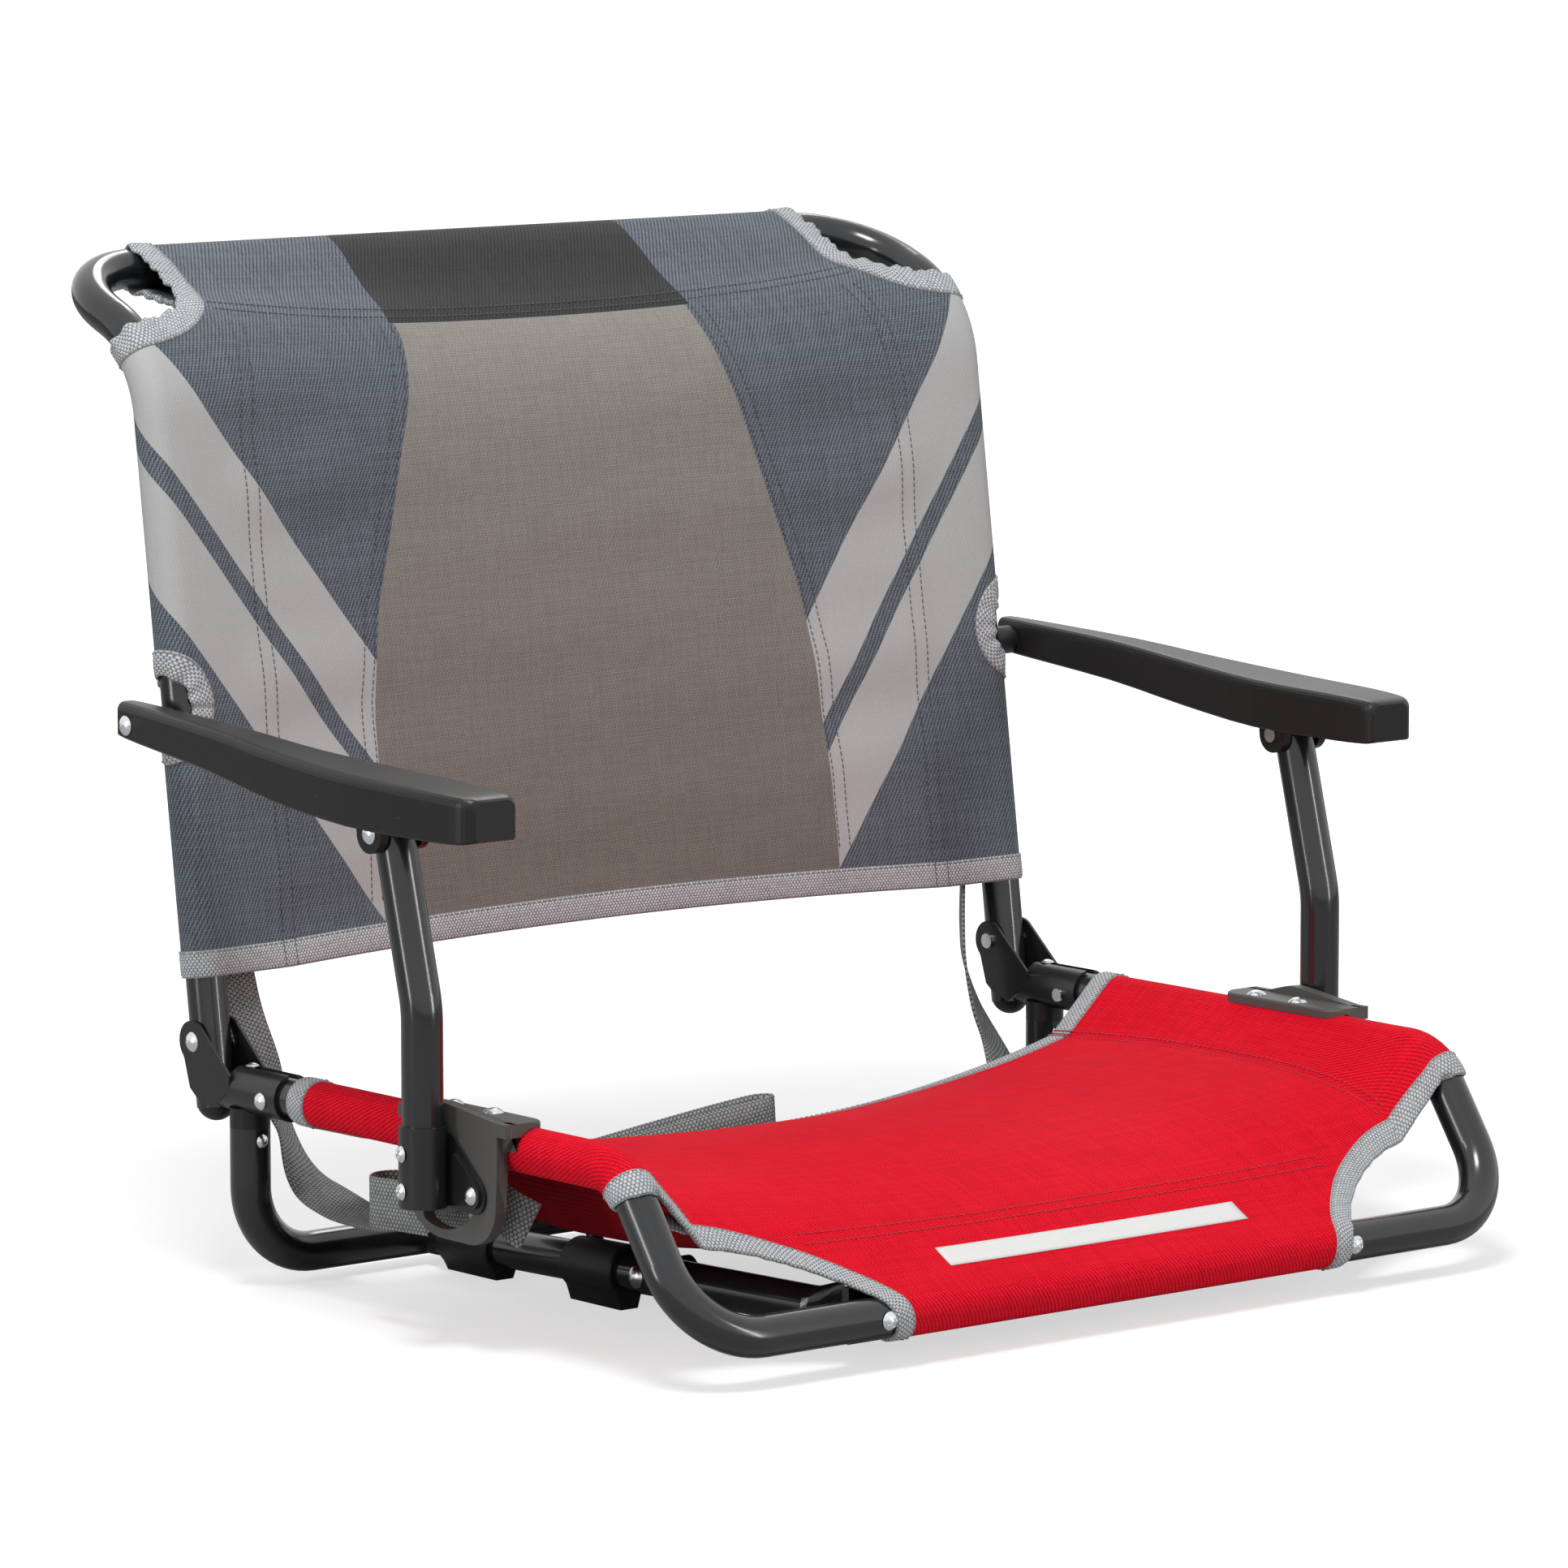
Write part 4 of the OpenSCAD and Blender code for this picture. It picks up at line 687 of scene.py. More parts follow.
# Meshes
def make_piece(name, points, faces, material, cloth=None):
    mesh = bpy.data.meshes.new(name)
    mesh.from_pydata((np.asarray(points) * MM).tolist(), [], faces)
    mesh.update()
    mesh.shade_smooth()
    if cloth is not None:
        places = mesh.attributes.new("cloth_place", "FLOAT_VECTOR", "POINT")
        flat = np.zeros((len(points), 3))
        flat[:, :2] = np.asarray(cloth) * MM
        places.data.foreach_set("vector", flat.ravel())
    mesh.materials.append(material)
    piece = bpy.data.objects.new(name, mesh)
    bpy.context.scene.collection.objects.link(piece)
    return piece


def distance_to_edge(points, edge):
    best = np.full(len(points), 1e9)
    inside = np.zeros(len(points), bool)
    for a, b in zip(edge, np.roll(edge, -1, axis=0)):
        d = b - a
        t = np.clip(((points - a) @ d) / max(d @ d, 1e-9), 0, 1)
        best = np.minimum(best, np.linalg.norm(points - a - t[:, None] * d, axis=1))
        crosses = (a[1] > points[:, 1]) != (b[1] > points[:, 1])
        rise = b[1] - a[1] if abs(b[1] - a[1]) > 1e-9 else 1e-9
        inside ^= crosses & (points[:, 0] < a[0] + (points[:, 1] - a[1]) * d[0] / rise)
    return np.where(inside, best, -best)


# A sheet of cloth over a region of its own flat cut, held back from edges that tape covers
def make_sheet(name, place, columns, rows, edges, holes, material, front, inset=3.0):
    s, t = np.meshgrid(columns, rows)
    flat = np.stack([s.ravel(), t.ravel()], 1)
    depth = distance_to_edge(flat, edges)
    keep = depth > inset
    for centre, radius in holes:
        keep &= np.linalg.norm(flat - np.array(centre), axis=1) > radius + inset
    points = place(flat[:, 0], flat[:, 1])
    n = len(columns)
    faces = []
    area = 0.0
    for j in range(len(rows) - 1):
        for i in range(n - 1):
            ring = [j * n + i, j * n + i + 1, (j + 1) * n + i + 1, (j + 1) * n + i]
            if keep[ring].all():
                faces.append(ring if front > 0 else ring[::-1])
                area += (columns[i + 1] - columns[i]) * (rows[j + 1] - rows[j])
    used = np.unique(np.array(faces).ravel())
    number = np.full(len(flat), -1)
    number[used] = np.arange(len(used))
    faces = [[int(number[k]) for k in ring] for ring in faces]
    piece = make_piece(name, points[used], faces, material, flat[used])
    solid = piece.modifiers.new("cloth_thickness", "SOLIDIFY")
    solid.thickness = 0.9 * MM
    solid.offset = 0.0
    return piece, area * MM * MM


def resample(path, step, closed=False):
    path = np.asarray(path, float)
    if closed:
        path = np.vstack([path, path[:1]])
    lengths = np.concatenate([[0], np.cumsum(np.linalg.norm(np.diff(path, axis=0), axis=1))])
    count = max(2, int(round(lengths[-1] / step)) + 1)
    at = np.linspace(0, lengths[-1], count)
    if closed:
        at = at[:-1]
    return np.stack([np.interp(at, lengths, path[:, k]) for k in range(path.shape[1])], 1), at


def rounded(path, passes, closed=False):
    path = np.asarray(path, float)
    for _ in range(passes):
        after = np.roll(path, -1, axis=0)
        cut = np.stack([0.75 * path + 0.25 * after, 0.25 * path + 0.75 * after], 1).reshape(-1, 2)
        if closed:
            path = cut
        else:
            path = np.vstack([path[:1], cut[1:-3], path[-1:]])
    return path


# Tape folded over an edge of cloth. path runs along the edge in the flat cut, with the cloth on
# its left when inward is 1
TAPE_SECTION = [(13.0, 0.75), (12.6, 1.15), (9.0, 1.35), (5.0, 1.35), (1.2, 1.25), (-0.3, 0.8),
                (-0.5, 0.0), (-0.3, -0.8), (1.2, -1.25), (5.0, -1.35), (9.0, -1.35), (12.6, -1.15),
                (13.0, -0.75)]


def make_tape_piece(name, at, path, inward, ruffle=0.0, closed=False, width=BINDING_W):
    spots, run = resample(path, 1.3, closed)
    if closed:
        ahead = np.roll(spots, -1, axis=0) - np.roll(spots, 1, axis=0)
    else:
        ahead = np.gradient(spots, axis=0)
    ahead /= np.linalg.norm(ahead, axis=1, keepdims=True)
    normal = np.stack([-ahead[:, 1], ahead[:, 0]], 1) * inward
    rings = []
    flats = []
    for reach, lift in TAPE_SECTION:
        reach = reach * width / BINDING_W
        loose = ruffle * (1 - reach / width)
        wave = np.sin(run / 1.3 + 1.6 * np.sin(run / 8.0)) + 0.5 * np.sin(run / 3.1)
        e = reach - 0.5 * loose * np.sin(run / 2.3 + 0.8 * np.sin(run / 11.0))
        spot = spots + normal * e[:, None]
        rings.append(at(spot[:, 0], spot[:, 1], lift + 0.5 * loose * wave))
        flats.append(np.stack([run, np.full_like(run, reach if lift >= 0 else -reach)], 1))
    m = len(TAPE_SECTION)
    points = np.stack(rings, 1).reshape(-1, 3)
    flat = np.stack(flats, 1).reshape(-1, 2)
    faces = ring_faces(len(spots), m, closed)
    if not closed:
        faces += end_faces(len(spots), m)
    return make_piece(name, points, outward(points, faces), grey_tape, flat)


# Faces between rings of points, one after another, and round to the first where closed
def ring_faces(rings, count, closed=False, base=0):
    faces = []
    for k in range(rings if closed else rings - 1):
        n = (k + 1) % rings
        for i in range(count):
            j = (i + 1) % count
            faces.append([base + k * count + i, base + k * count + j,
                          base + n * count + j, base + n * count + i])
    return faces


# Faces over the first and the last ring
def end_faces(rings, count):
    return [list(range(count))[::-1], [(rings - 1) * count + i for i in range(count)]]


# Turns a closed mesh's faces outward
def outward(points, faces):
    points = np.asarray(points)
    total = 0.0
    for ring in faces:
        a = points[ring[0]]
        for b, c in zip(ring[1:-1], ring[2:]):
            total += np.dot(a, np.cross(points[b], points[c]))
    return faces if total > 0 else [ring[::-1] for ring in faces]


# Rows of stitches, one bead of thread for each
def add_stitches(store, at, path, lift=0.75, pitch=3.4, length=2.5, radius=0.27):
    path = np.asarray(path, float)
    spots, _ = resample(path, pitch)
    ahead = np.gradient(spots, axis=0)
    ahead /= np.maximum(np.linalg.norm(ahead, axis=1, keepdims=True), 1e-9)
    stations = [(-0.5, -0.35, 0.5), (-0.3, 0.0, 1.0), (0.3, 0.0, 1.0), (0.5, -0.35, 0.5)]
    rings = []
    for along, drop, wide in stations:
        spot = spots + ahead * along * length
        rings.append((at(spot[:, 0], spot[:, 1], lift + drop), wide))
    direction = rings[2][0] - rings[1][0]
    direction /= np.linalg.norm(direction, axis=1, keepdims=True)
    up = at(spots[:, 0], spots[:, 1], lift + 1.0) - at(spots[:, 0], spots[:, 1], lift)
    across = np.cross(direction, up)
    across /= np.maximum(np.linalg.norm(across, axis=1, keepdims=True), 1e-9)
    up = np.cross(across, direction)
    sides = 5
    for k in range(len(spots)):
        base = len(store["points"])
        for centres, wide in rings:
            for i in range(sides):
                turn = 2 * math.pi * i / sides
                offset = across[k] * math.cos(turn) + up[k] * math.sin(turn)
                store["points"].append(centres[k] + offset * radius * wide)
        for j in range(3):
            for i in range(sides):
                n = (i + 1) % sides
                store["faces"].append([base + j * sides + i, base + j * sides + n,
                                       base + (j + 1) * sides + n, base + (j + 1) * sides + i])
        store["faces"].append([base + i for i in range(sides)][::-1])
        store["faces"].append([base + 3 * sides + i for i in range(sides)])


# A row of stitches beside a cut edge
def row_beside(edge, offset, limit):
    inner = np.array(edge[:-1])
    ahead = np.gradient(inner, axis=0)
    ahead /= np.linalg.norm(ahead, axis=1, keepdims=True)
    row = inner + np.stack([-ahead[:, 1], ahead[:, 0]], 1) * offset
    return row[row[:, 1] < limit]


# Columns over both halves of a cloth, from those of one half
def both_halves(half):
    return np.concatenate([-half[:0:-1], half])


def new_store():
    return {"points": [], "faces": []}


def make_stitches(name, store, material):
    return make_piece(name, store["points"], outward(store["points"], store["faces"]), material)


def steps(low, high, size):
    return np.linspace(low, high, max(2, int(round((high - low) / size)) + 1))


# The back sling
def hem_height(s):
    u = np.clip(np.abs(s) / (SIDE_X - BACK_SEAM), 0, 1)
    return 31.8 + 5.0 * (1 - u**2)


HEM = [(s, float(hem_height(s))) for s in np.linspace(-BACK_EDGE, BACK_EDGE, 90)]
CORNER_CUT = [(BACK_EDGE, 356.0), (300.0, 353.0), (277.0, 351.5), (262.0, 352.0), (247.0, 355.0),
              (232.0, 361.0), (222.0, 370.0), (217.0, 382.0), (215.5, 395.0), (215.5, TOP_EDGE)]
corner_edge = rounded(CORNER_CUT, 2)
back_edges = np.array(HEM + [tuple(p) for p in corner_edge]
                      + [(-s, t) for s, t in corner_edge[::-1]])
ARM_HOLE_S = 277.0
ARM_HOLE_H = 165.5
ARM_HOLE_R = 15.5
arm_holes = [((side * ARM_HOLE_S, ARM_HOLE_H), ARM_HOLE_R) for side in (1.0, -1.0)]


# A ring round one arm hole in the cloth's flat cut
def round_hole(side, radius, turns):
    return [(side * ARM_HOLE_S + radius * math.cos(a), ARM_HOLE_H + radius * math.sin(a))
            for a in turns]


def build_back():
    seam = SIDE_X - BACK_SEAM
    half = np.concatenate([steps(0, seam, 5.0), steps(seam, SIDE_X, 4.5)[1:],
                           steps(SIDE_X, SIDE_X + BACK_ROUND, 2.2)[1:],
                           steps(SIDE_X + BACK_ROUND, BACK_EDGE + 4, 5.0)[1:]])
    columns = both_halves(half)
    rows = np.concatenate([steps(30, 250, 5.0), steps(250, TOP_H, 4.0)[1:],
                           steps(TOP_H, TOP_H + TOP_ROUND, 2.2)[1:],
                           steps(TOP_H + TOP_ROUND, TOP_EDGE + 4, 5.0)[1:]])
    sheet, area = make_sheet("back_cloth_sheet", back_point, columns, rows, back_edges, arm_holes,
                             back_cloth, 1.0)
    trims = [make_tape_piece("back_hem_tape", back_at, HEM, 1.0)]
    for mark, side in (("left", 1.0), ("right", -1.0)):
        cut = [(side * s, t) for s, t in corner_edge]
        trims.append(make_tape_piece(f"corner_tape_{mark}", back_at, cut, side, ruffle=1.5))
        turns = np.linspace(0, 2 * math.pi, 60)[:-1]
        ring = round_hole(side, ARM_HOLE_R, turns)
        trims.append(make_tape_piece(f"arm_hole_tape_{mark}", back_at, ring, -1.0, ruffle=1.4,
                                     closed=True))
    dark = new_store()
    pale = new_store()
    net_edge = [(147.0, 60.0), (146.0, 100.0), (142.5, 160.0), (136.5, 200.0),
                (121.5, 250.0), (113.5, 280.0), (103.5, 310.0), (98.5, 330.0), (96.0, 352.0)]
    for side in (1.0, -1.0):
        for shift in (-3.8, 3.8):
            add_stitches(dark, back_at, [(side * (212 + shift), 50), (side * (212 + shift), 300),
                                         (side * (207 + shift), 330), (side * (199 + shift), 352)])
        for shift in (2.2, 9.0):
            add_stitches(dark, back_at, [(side * (s + shift), t) for s, t in net_edge])
    for t in (358.5, 364.5):
        bowed = [(s, t + 3.0 * (abs(s) / 210)**3) for s in np.linspace(-206, 206, 40)]
        add_stitches(dark, back_at, bowed)
    hem_row = [(s, float(hem_height(s)) + BINDING_W - STITCH_INSET)
               for s in np.linspace(-300, 300, 80)]
    add_stitches(pale, back_at, hem_row, lift=1.45)
    for side in (1.0, -1.0):
        for x in (209.5, 217.0):
            add_stitches(dark, back_at, [(side * x, 33.5), (side * x, 45.0)], lift=1.5, pitch=2.6)
        row = row_beside(corner_edge, BINDING_W - STITCH_INSET, TOP_H + 30)
        add_stitches(pale, back_at, [(side * s, t) for s, t in row], lift=1.45)
        turns = np.linspace(0, 2 * math.pi, 80)
        ring = round_hole(side, ARM_HOLE_STITCH_R, turns)
        add_stitches(pale, back_at, ring, lift=1.45)
    threads = [make_stitches("back_dark_stitches", dark, grey_thread),
               make_stitches("back_tape_stitches", pale, pale_thread)]
    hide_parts("back_sling")
    for piece in [sheet] + trims + threads:
        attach(piece, "back")


# The seat sling
FRONT_CUT = [(SEAT_EDGE, 333.0), (312.0, 337.0), (262.0, 343.0), (240.0, 341.5), (222.0, 342.0),
             (203.0, 347.0), (184.0, 356.0), (169.0, 366.0), (157.5, 377.0), (149.5, 388.0),
             (146.0, 398.0), (145.0, 410.0), (145.0, FRONT_EDGE)]
front_edge = rounded(FRONT_CUT, 2)
REAR_A = 78.0
REAR = [(s, REAR_A) for s in np.linspace(-SEAT_EDGE, SEAT_EDGE, 60)]
seat_edges = np.array(REAR + [tuple(p) for p in front_edge]
                      + [(-s, t) for s, t in front_edge[::-1]])


def build_seat():
    seam = SIDE_X - SEAT_SEAM
    half = np.concatenate([steps(0, seam, 5.0), steps(seam, seam + LEAD_LEN, 4.5)[1:],
                           steps(seam + LEAD_LEN, seam + LEAD_LEN + RAIL_ROUND, 2.4)[1:],
                           steps(seam + LEAD_LEN + RAIL_ROUND, SEAT_EDGE + 4, 5.0)[1:]])
    columns = both_halves(half)
    ramp = RAMP_END + RAMP_LEN
    rows = np.concatenate([steps(76, 300, 5.0), steps(300, ramp, 3.5)[1:],
                           steps(ramp, ramp + FRONT_ROUND, 2.4)[1:],
                           steps(ramp + FRONT_ROUND, FRONT_EDGE + 4, 5.0)[1:]])
    sheet, area = make_sheet("seat_cloth_sheet", seat_point, columns, rows, seat_edges, [],
                             red_cloth, -1.0)
    trims = [make_tape_piece("seat_rear_tape", seat_at, REAR, 1.0)]
    for mark, side in (("left", 1.0), ("right", -1.0)):
        cut = [(side * s, t) for s, t in front_edge]
        trims.append(make_tape_piece(f"seat_corner_tape_{mark}", seat_at, cut, side, ruffle=0.35,
                                     width=CORNER_BINDING_W))
    red = new_store()
    pale = new_store()
    for side in (1.0, -1.0):
        for shift in (-3.0, 3.0):
            add_stitches(red, seat_at, [(side * (225 + shift), 92), (side * (225 + shift), 326)])
        for shift in (-2.4, 0.0, 2.4):
            add_stitches(red, seat_at, [(side * (225 + shift), 79.0), (side * (225 + shift), 91.0)],
                         lift=1.5, pitch=1.8, radius=0.4)
        row = row_beside(front_edge, SEAT_STITCH_REACH, 425)
        add_stitches(pale, seat_at, [(side * s, t) for s, t in row], lift=1.45)
    for t in (341.0, 347.0):
        add_stitches(red, seat_at, [(s, t) for s in np.linspace(-166, 166, 40)])
    rear_row = [(s, REAR_A + BINDING_W - STITCH_INSET) for s in np.linspace(-300, 300, 60)]
    add_stitches(pale, seat_at, rear_row, lift=1.45)
    threads = [make_stitches("seat_red_stitches", red, red_thread),
               make_stitches("seat_tape_stitches", pale, pale_thread)]
    label = build_label()
    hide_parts("seat_sling")
    for piece in [sheet, label] + trims + threads:
        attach(piece, "seat")


# The bare label strip on the seat's front ramp
LABEL_ENDS = (-97.0, 94.0)
LABEL_EDGES = (359.0, 371.5)


def build_label():
    across = np.linspace(*LABEL_ENDS, 60)
    along = np.linspace(*LABEL_EDGES, 6)
    s, t = np.meshgrid(across, along)
    points = seat_at(s.ravel(), t.ravel(), 0.75)
    n = len(across)
    faces = [[j * n + i, (j + 1) * n + i, (j + 1) * n + i + 1, j * n + i + 1]
             for j in range(len(along) - 1) for i in range(n - 1)]
    flat = np.stack([s.ravel(), t.ravel()], 1)
    label = make_piece("seat_label", points, faces, label_cloth, flat)
    solid = label.modifiers.new("label_thickness", "SOLIDIFY")
    solid.thickness = 0.4 * MM
    solid.offset = 0.0
    return label


# Flat webbing along a path, with the direction across it given at each point
STRAP_W = 25.0
STRAP_T = 1.5


def smooth_path(points, step):
    points = np.asarray(points, float)
    ends = np.vstack([2 * points[:1] - points[1:2], points, 2 * points[-1:] - points[-2:-1]])
    parts = []
    for k in range(len(points) - 1):
        a, b, c, d = ends[k:k + 4]
        t = np.linspace(0, 1, 17)[:-1, None]
        parts.append(0.5 * (2 * b + (c - a) * t + (2 * a - 5 * b + 4 * c - d) * t**2
                            + (3 * b - a - 3 * c + d) * t**3))
    parts.append(points[-1:])
    return resample(np.vstack(parts), step)


def make_strap(name, stations, body):
    path, run = smooth_path([place + across for place, across in stations], 3.0)
    middle = path[:, :3]
    along = np.gradient(middle, axis=0)
    along /= np.linalg.norm(along, axis=1, keepdims=True)
    across = path[:, 3:]
    across = across - along * (across * along).sum(1, keepdims=True)
    across /= np.linalg.norm(across, axis=1, keepdims=True)
    up = np.cross(along, across)
    half = STRAP_W / 2
    deep = STRAP_T / 2
    section = [(-half, 0.0), (-half + 0.5, deep), (-half / 3, deep), (half / 3, deep),
               (half - 0.5, deep), (half, 0.0), (half - 0.5, -deep), (half / 3, -deep),
               (-half / 3, -deep), (-half + 0.5, -deep)]
    m = len(section)
    rings = [middle + across * u + up * v for u, v in section]
    points = np.stack(rings, 1).reshape(-1, 3)
    flat = np.stack([np.stack([run, np.full_like(run, u + half)], 1) for u, v in section], 1)
    faces = ring_faces(len(run), m) + end_faces(len(run), m)
    strap = make_piece(name, points, outward(points, faces), webbing, flat.reshape(-1, 2))
    if body:
        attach(strap, body)
    else:
        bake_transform(strap)


# The webbing: a strap on each side from the back's hem to the seat frame, a doubled loop behind
# each clamp, its tail hanging behind the clamp's front end, and a slack loop at the seat's rear
def build_straps():
    on_edge = (0.0, 0.0, 12.0)
    make_strap("strap_right", [
        ((-241, 137, 158), (12, -1, 0)), ((-240, 128, 132), (12, 0, 0)),
        ((-234, 118, 104), (11.5, 3, 1)), ((-224, 114, 72), (9, 8, 1)),
        ((-226, 92, 50), (10, 6, 3)), ((-229, 62, 42), (12, 1, 3)),
        ((-231, 34, 40), (12, 0, 2)), ((-235, 4, 46), (10, 0, 6)), ((-241, -24, 58), (5, 0, 10)),
        ((-246, -52, 66), on_edge)], None)
    make_strap("strap_left", [
        ((239, 137, 157), (7.4, 9.6, -1)), ((231, 128, 131), (7.2, 9.6, -1)),
        ((227, 121, 111), (7.6, 9.4, -1)), ((229, 114, 88), (9, 8, 0)),
        ((234, 106, 69), (10.5, 6, 0)),
        ((231, 86, 50), (11, 4, 3)), ((230, 58, 43), (12, 0, 3)), ((231, 30, 42), (12, 0, 2)),
        ((236, 0, 48), (9, 0, 7)), ((244, -40, 62), on_edge)],
        None)
    for mark, side in (("left", 1.0), ("right", -1.0)):
        make_strap(f"strap_loop_{mark}", [
            ((side * 272, -66, 63), on_edge), ((side * 272.5, -40, 62), on_edge),
            ((side * 272, -22, 61), on_edge), ((side * 267, -14.5, 61), on_edge),
            ((side * 260, -12, 61), on_edge), ((side * 253, -14.5, 61), on_edge),
            ((side * 248.5, -22, 61), on_edge), ((side * 248, -44, 62), on_edge),
            ((side * 249, -66, 64), on_edge)], "seat")
        make_strap(f"strap_tail_{mark}", [
            ((side * 262, -98, 74), on_edge), ((side * 262.5, -109, 70.5), on_edge),
            ((side * 261, -119, 66), on_edge), ((side * 257, -126, 62), on_edge)],
            "seat")
    tilted = (0.0, 2.0, 12.0)
    make_strap("strap_slack_loop", [
        ((-138, 60, 31), tilted), ((-100, 61, 36), tilted), ((-60, 62, 41.5), tilted),
        ((0, 62.5, 48.5), tilted), ((36, 63, 52.5), tilted), ((48, 64.5, 53.5), tilted),
        ((51.5, 68.5, 54), tilted), ((46, 72.5, 54), tilted), ((34, 73.5, 53), tilted),
        ((0, 73.5, 49.5), tilted), ((-60, 73, 42.5), tilted), ((-100, 73, 37), tilted),
        ((-138, 73, 32), tilted)], "seat")


# The seat's under layer, slack below the top cloth and sewn to it round its edge
UNDER_START = 100.0
UNDER_END = 342.0
UNDER_SLACK = 37.0


def under_point(s, a):
    s = np.asarray(s, float)
    a = np.asarray(a, float)
    share = np.clip((a - UNDER_START) / (UNDER_END - UNDER_START), 0.0, 1.0)
    half = SIDE_X - SEAT_SEAM - 1.0
    inward = np.clip((half - np.abs(s)) / 26.0, 0.0, 1.0)
    slack = UNDER_SLACK * np.sin(math.pi * share) ** 0.6 * np.sin(inward * math.pi / 2) ** 0.8
    fold = 1.6 * np.sin(s / 27.0 + a / 40.0) * np.sin(math.pi * share) * inward
    point = seat_point(s, a)
    point[..., 2] -= 1.9 + slack + fold
    return point


def build_under_layer():
    seam = SIDE_X - SEAT_SEAM
    half = np.concatenate([steps(0, seam - 30, 8.0), steps(seam - 30, seam - 1, 2.5)[1:]])
    columns = both_halves(half)
    rows = np.concatenate([steps(UNDER_START, 130, 4.0), steps(130, 300, 8.0)[1:],
                           steps(300, UNDER_END, 4.0)[1:]])
    edges = np.array([(-seam, 0.0), (seam, 0.0), (seam, 322.0), (206.0, 334.0), (172.0, 345.0),
                      (-172.0, 345.0), (-206.0, 334.0), (-seam, 322.0)])
    # Its cloth is the seat's red darkened with painted shade
    layer, area = make_sheet("seat_under_layer", under_point, columns, rows, edges, [], red_cloth_painted_shade,
                             -1.0, inset=0.0)
    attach(layer, "seat")


build_straps()
build_under_layer()
build_back()
build_seat()

# The arm clamps: the plate as cut in the CAD model, and a saddle flange with rounded corners
# that lies over the rail's sleeve
CLAMP_BACK = -50.5
CLAMP_LEN = 84.0
CLAMP_TOP = 114.0
FLANGE_IN = 253.5
FLANGE_OUT = 274.5
FLANGE_CORNER = 8.0
FLANGE_LIP = 268.7
SADDLE_R = 11.75
LIP_Z = 107.4


def flange_section(limit):
    inner = max(FLANGE_IN, limit)
    under = [(x, RAIL_Z + math.sqrt(max(SADDLE_R**2 - (x - SIDE_X) ** 2, 0.0)))
             for x in np.linspace(inner + 0.5, FLANGE_LIP, 9)]
    edge_z = under[0][1] - 0.5
    return ([(FLANGE_OUT, CLAMP_TOP), (FLANGE_OUT - 4, CLAMP_TOP), (inner + 1.3, CLAMP_TOP),
             (inner + 0.4, CLAMP_TOP - 0.4), (inner, CLAMP_TOP - 1.3), (inner, edge_z)]
            + under + [(FLANGE_OUT, under[-1][1])])


def build_clamps():
    for mark, side in (("left", 1.0), ("right", -1.0)):
        node = frame["nodes"][f"arm_clamp_{mark}"]
        work = bmesh.new()
        work.from_mesh(node.data)
        face_x = SIDE_X + SADDLE_R - 0.1
        parts = work.verts[:] + work.edges[:] + work.faces[:]
        cut = bmesh.ops.bisect_plane(work, geom=parts, plane_co=(side * face_x * MM, 0, 0),
                                     plane_no=(side, 0, 0), clear_inner=True)
        rim = [e for e in cut["geom_cut"] if isinstance(e, bmesh.types.BMEdge)]
        bmesh.ops.triangle_fill(work, edges=rim, use_beauty=True)
        # The lip under the flange's front end runs back to the plate at a slant
        for vert in work.verts:
            if vert.co.y / MM < CLAMP_BACK - CLAMP_LEN + 1 and vert.co.z / MM < RAIL_Z + 1:
                vert.co.z = LIP_Z * MM
        sections = []
        near_end = [0.0, 0.5, 1.5, 3.0, 5.0, FLANGE_CORNER, 20.0]
        far_end = [CLAMP_LEN - e for e in near_end[::-1]]
        for e in near_end + [CLAMP_LEN / 2] + far_end:
            from_end = min(e, CLAMP_LEN - e, FLANGE_CORNER)
            round_in = FLANGE_CORNER - math.sqrt(FLANGE_CORNER**2 - (FLANGE_CORNER - from_end) ** 2)
            y = CLAMP_BACK - e
            sections.append([(side * x, y, z) for x, z in flange_section(FLANGE_IN + round_in)])
        count = len(sections[0])
        verts = [[work.verts.new(np.array(p) * MM) for p in ring] for ring in sections]
        for k in range(len(verts) - 1):
            for i in range(count):
                j = (i + 1) % count
                work.faces.new([verts[k][i], verts[k][j], verts[k + 1][j], verts[k + 1][i]])
        work.faces.new(verts[0])
        work.faces.new(verts[-1])
        bmesh.ops.recalc_face_normals(work, faces=work.faces[:])
        mesh = bpy.data.meshes.new(f"clamp_body_{mark}")
        work.to_mesh(mesh)
        work.free()
        mesh.materials.append(clamp_plastic)
        mesh.shade_smooth()
        mesh.set_sharp_from_angle(angle=math.radians(38))
        body = bpy.data.objects.new(f"clamp_body_{mark}", mesh)
        bpy.context.scene.collection.objects.link(body)
        edge = body.modifiers.new("soft_edges", "BEVEL")
        edge.width = 0.9 * MM
        edge.segments = 3
        edge.limit_method = "ANGLE"
        edge.angle_limit = math.radians(50)
        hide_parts(f"arm_clamp_{mark}")
        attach(body, "seat")


# The glides under the lower tubes: round sleeves with a narrow flat foot
GLIDE_R = 13.0
GLIDE_BORE = 10.15
GLIDE_LEN = 40.0
GLIDE_EDGE = 0.9
GLIDE_FOOT = 5.5
GLIDE_BACKS = (74.0, 173.0)
LOWER_X = 150.0
LOWER_REAR = 32.0
LOWER_Z = 14.4
LOWER_RISE = (FRONT_Z - LOWER_Z) / (SEAT_DEPTH - LOWER_REAR)


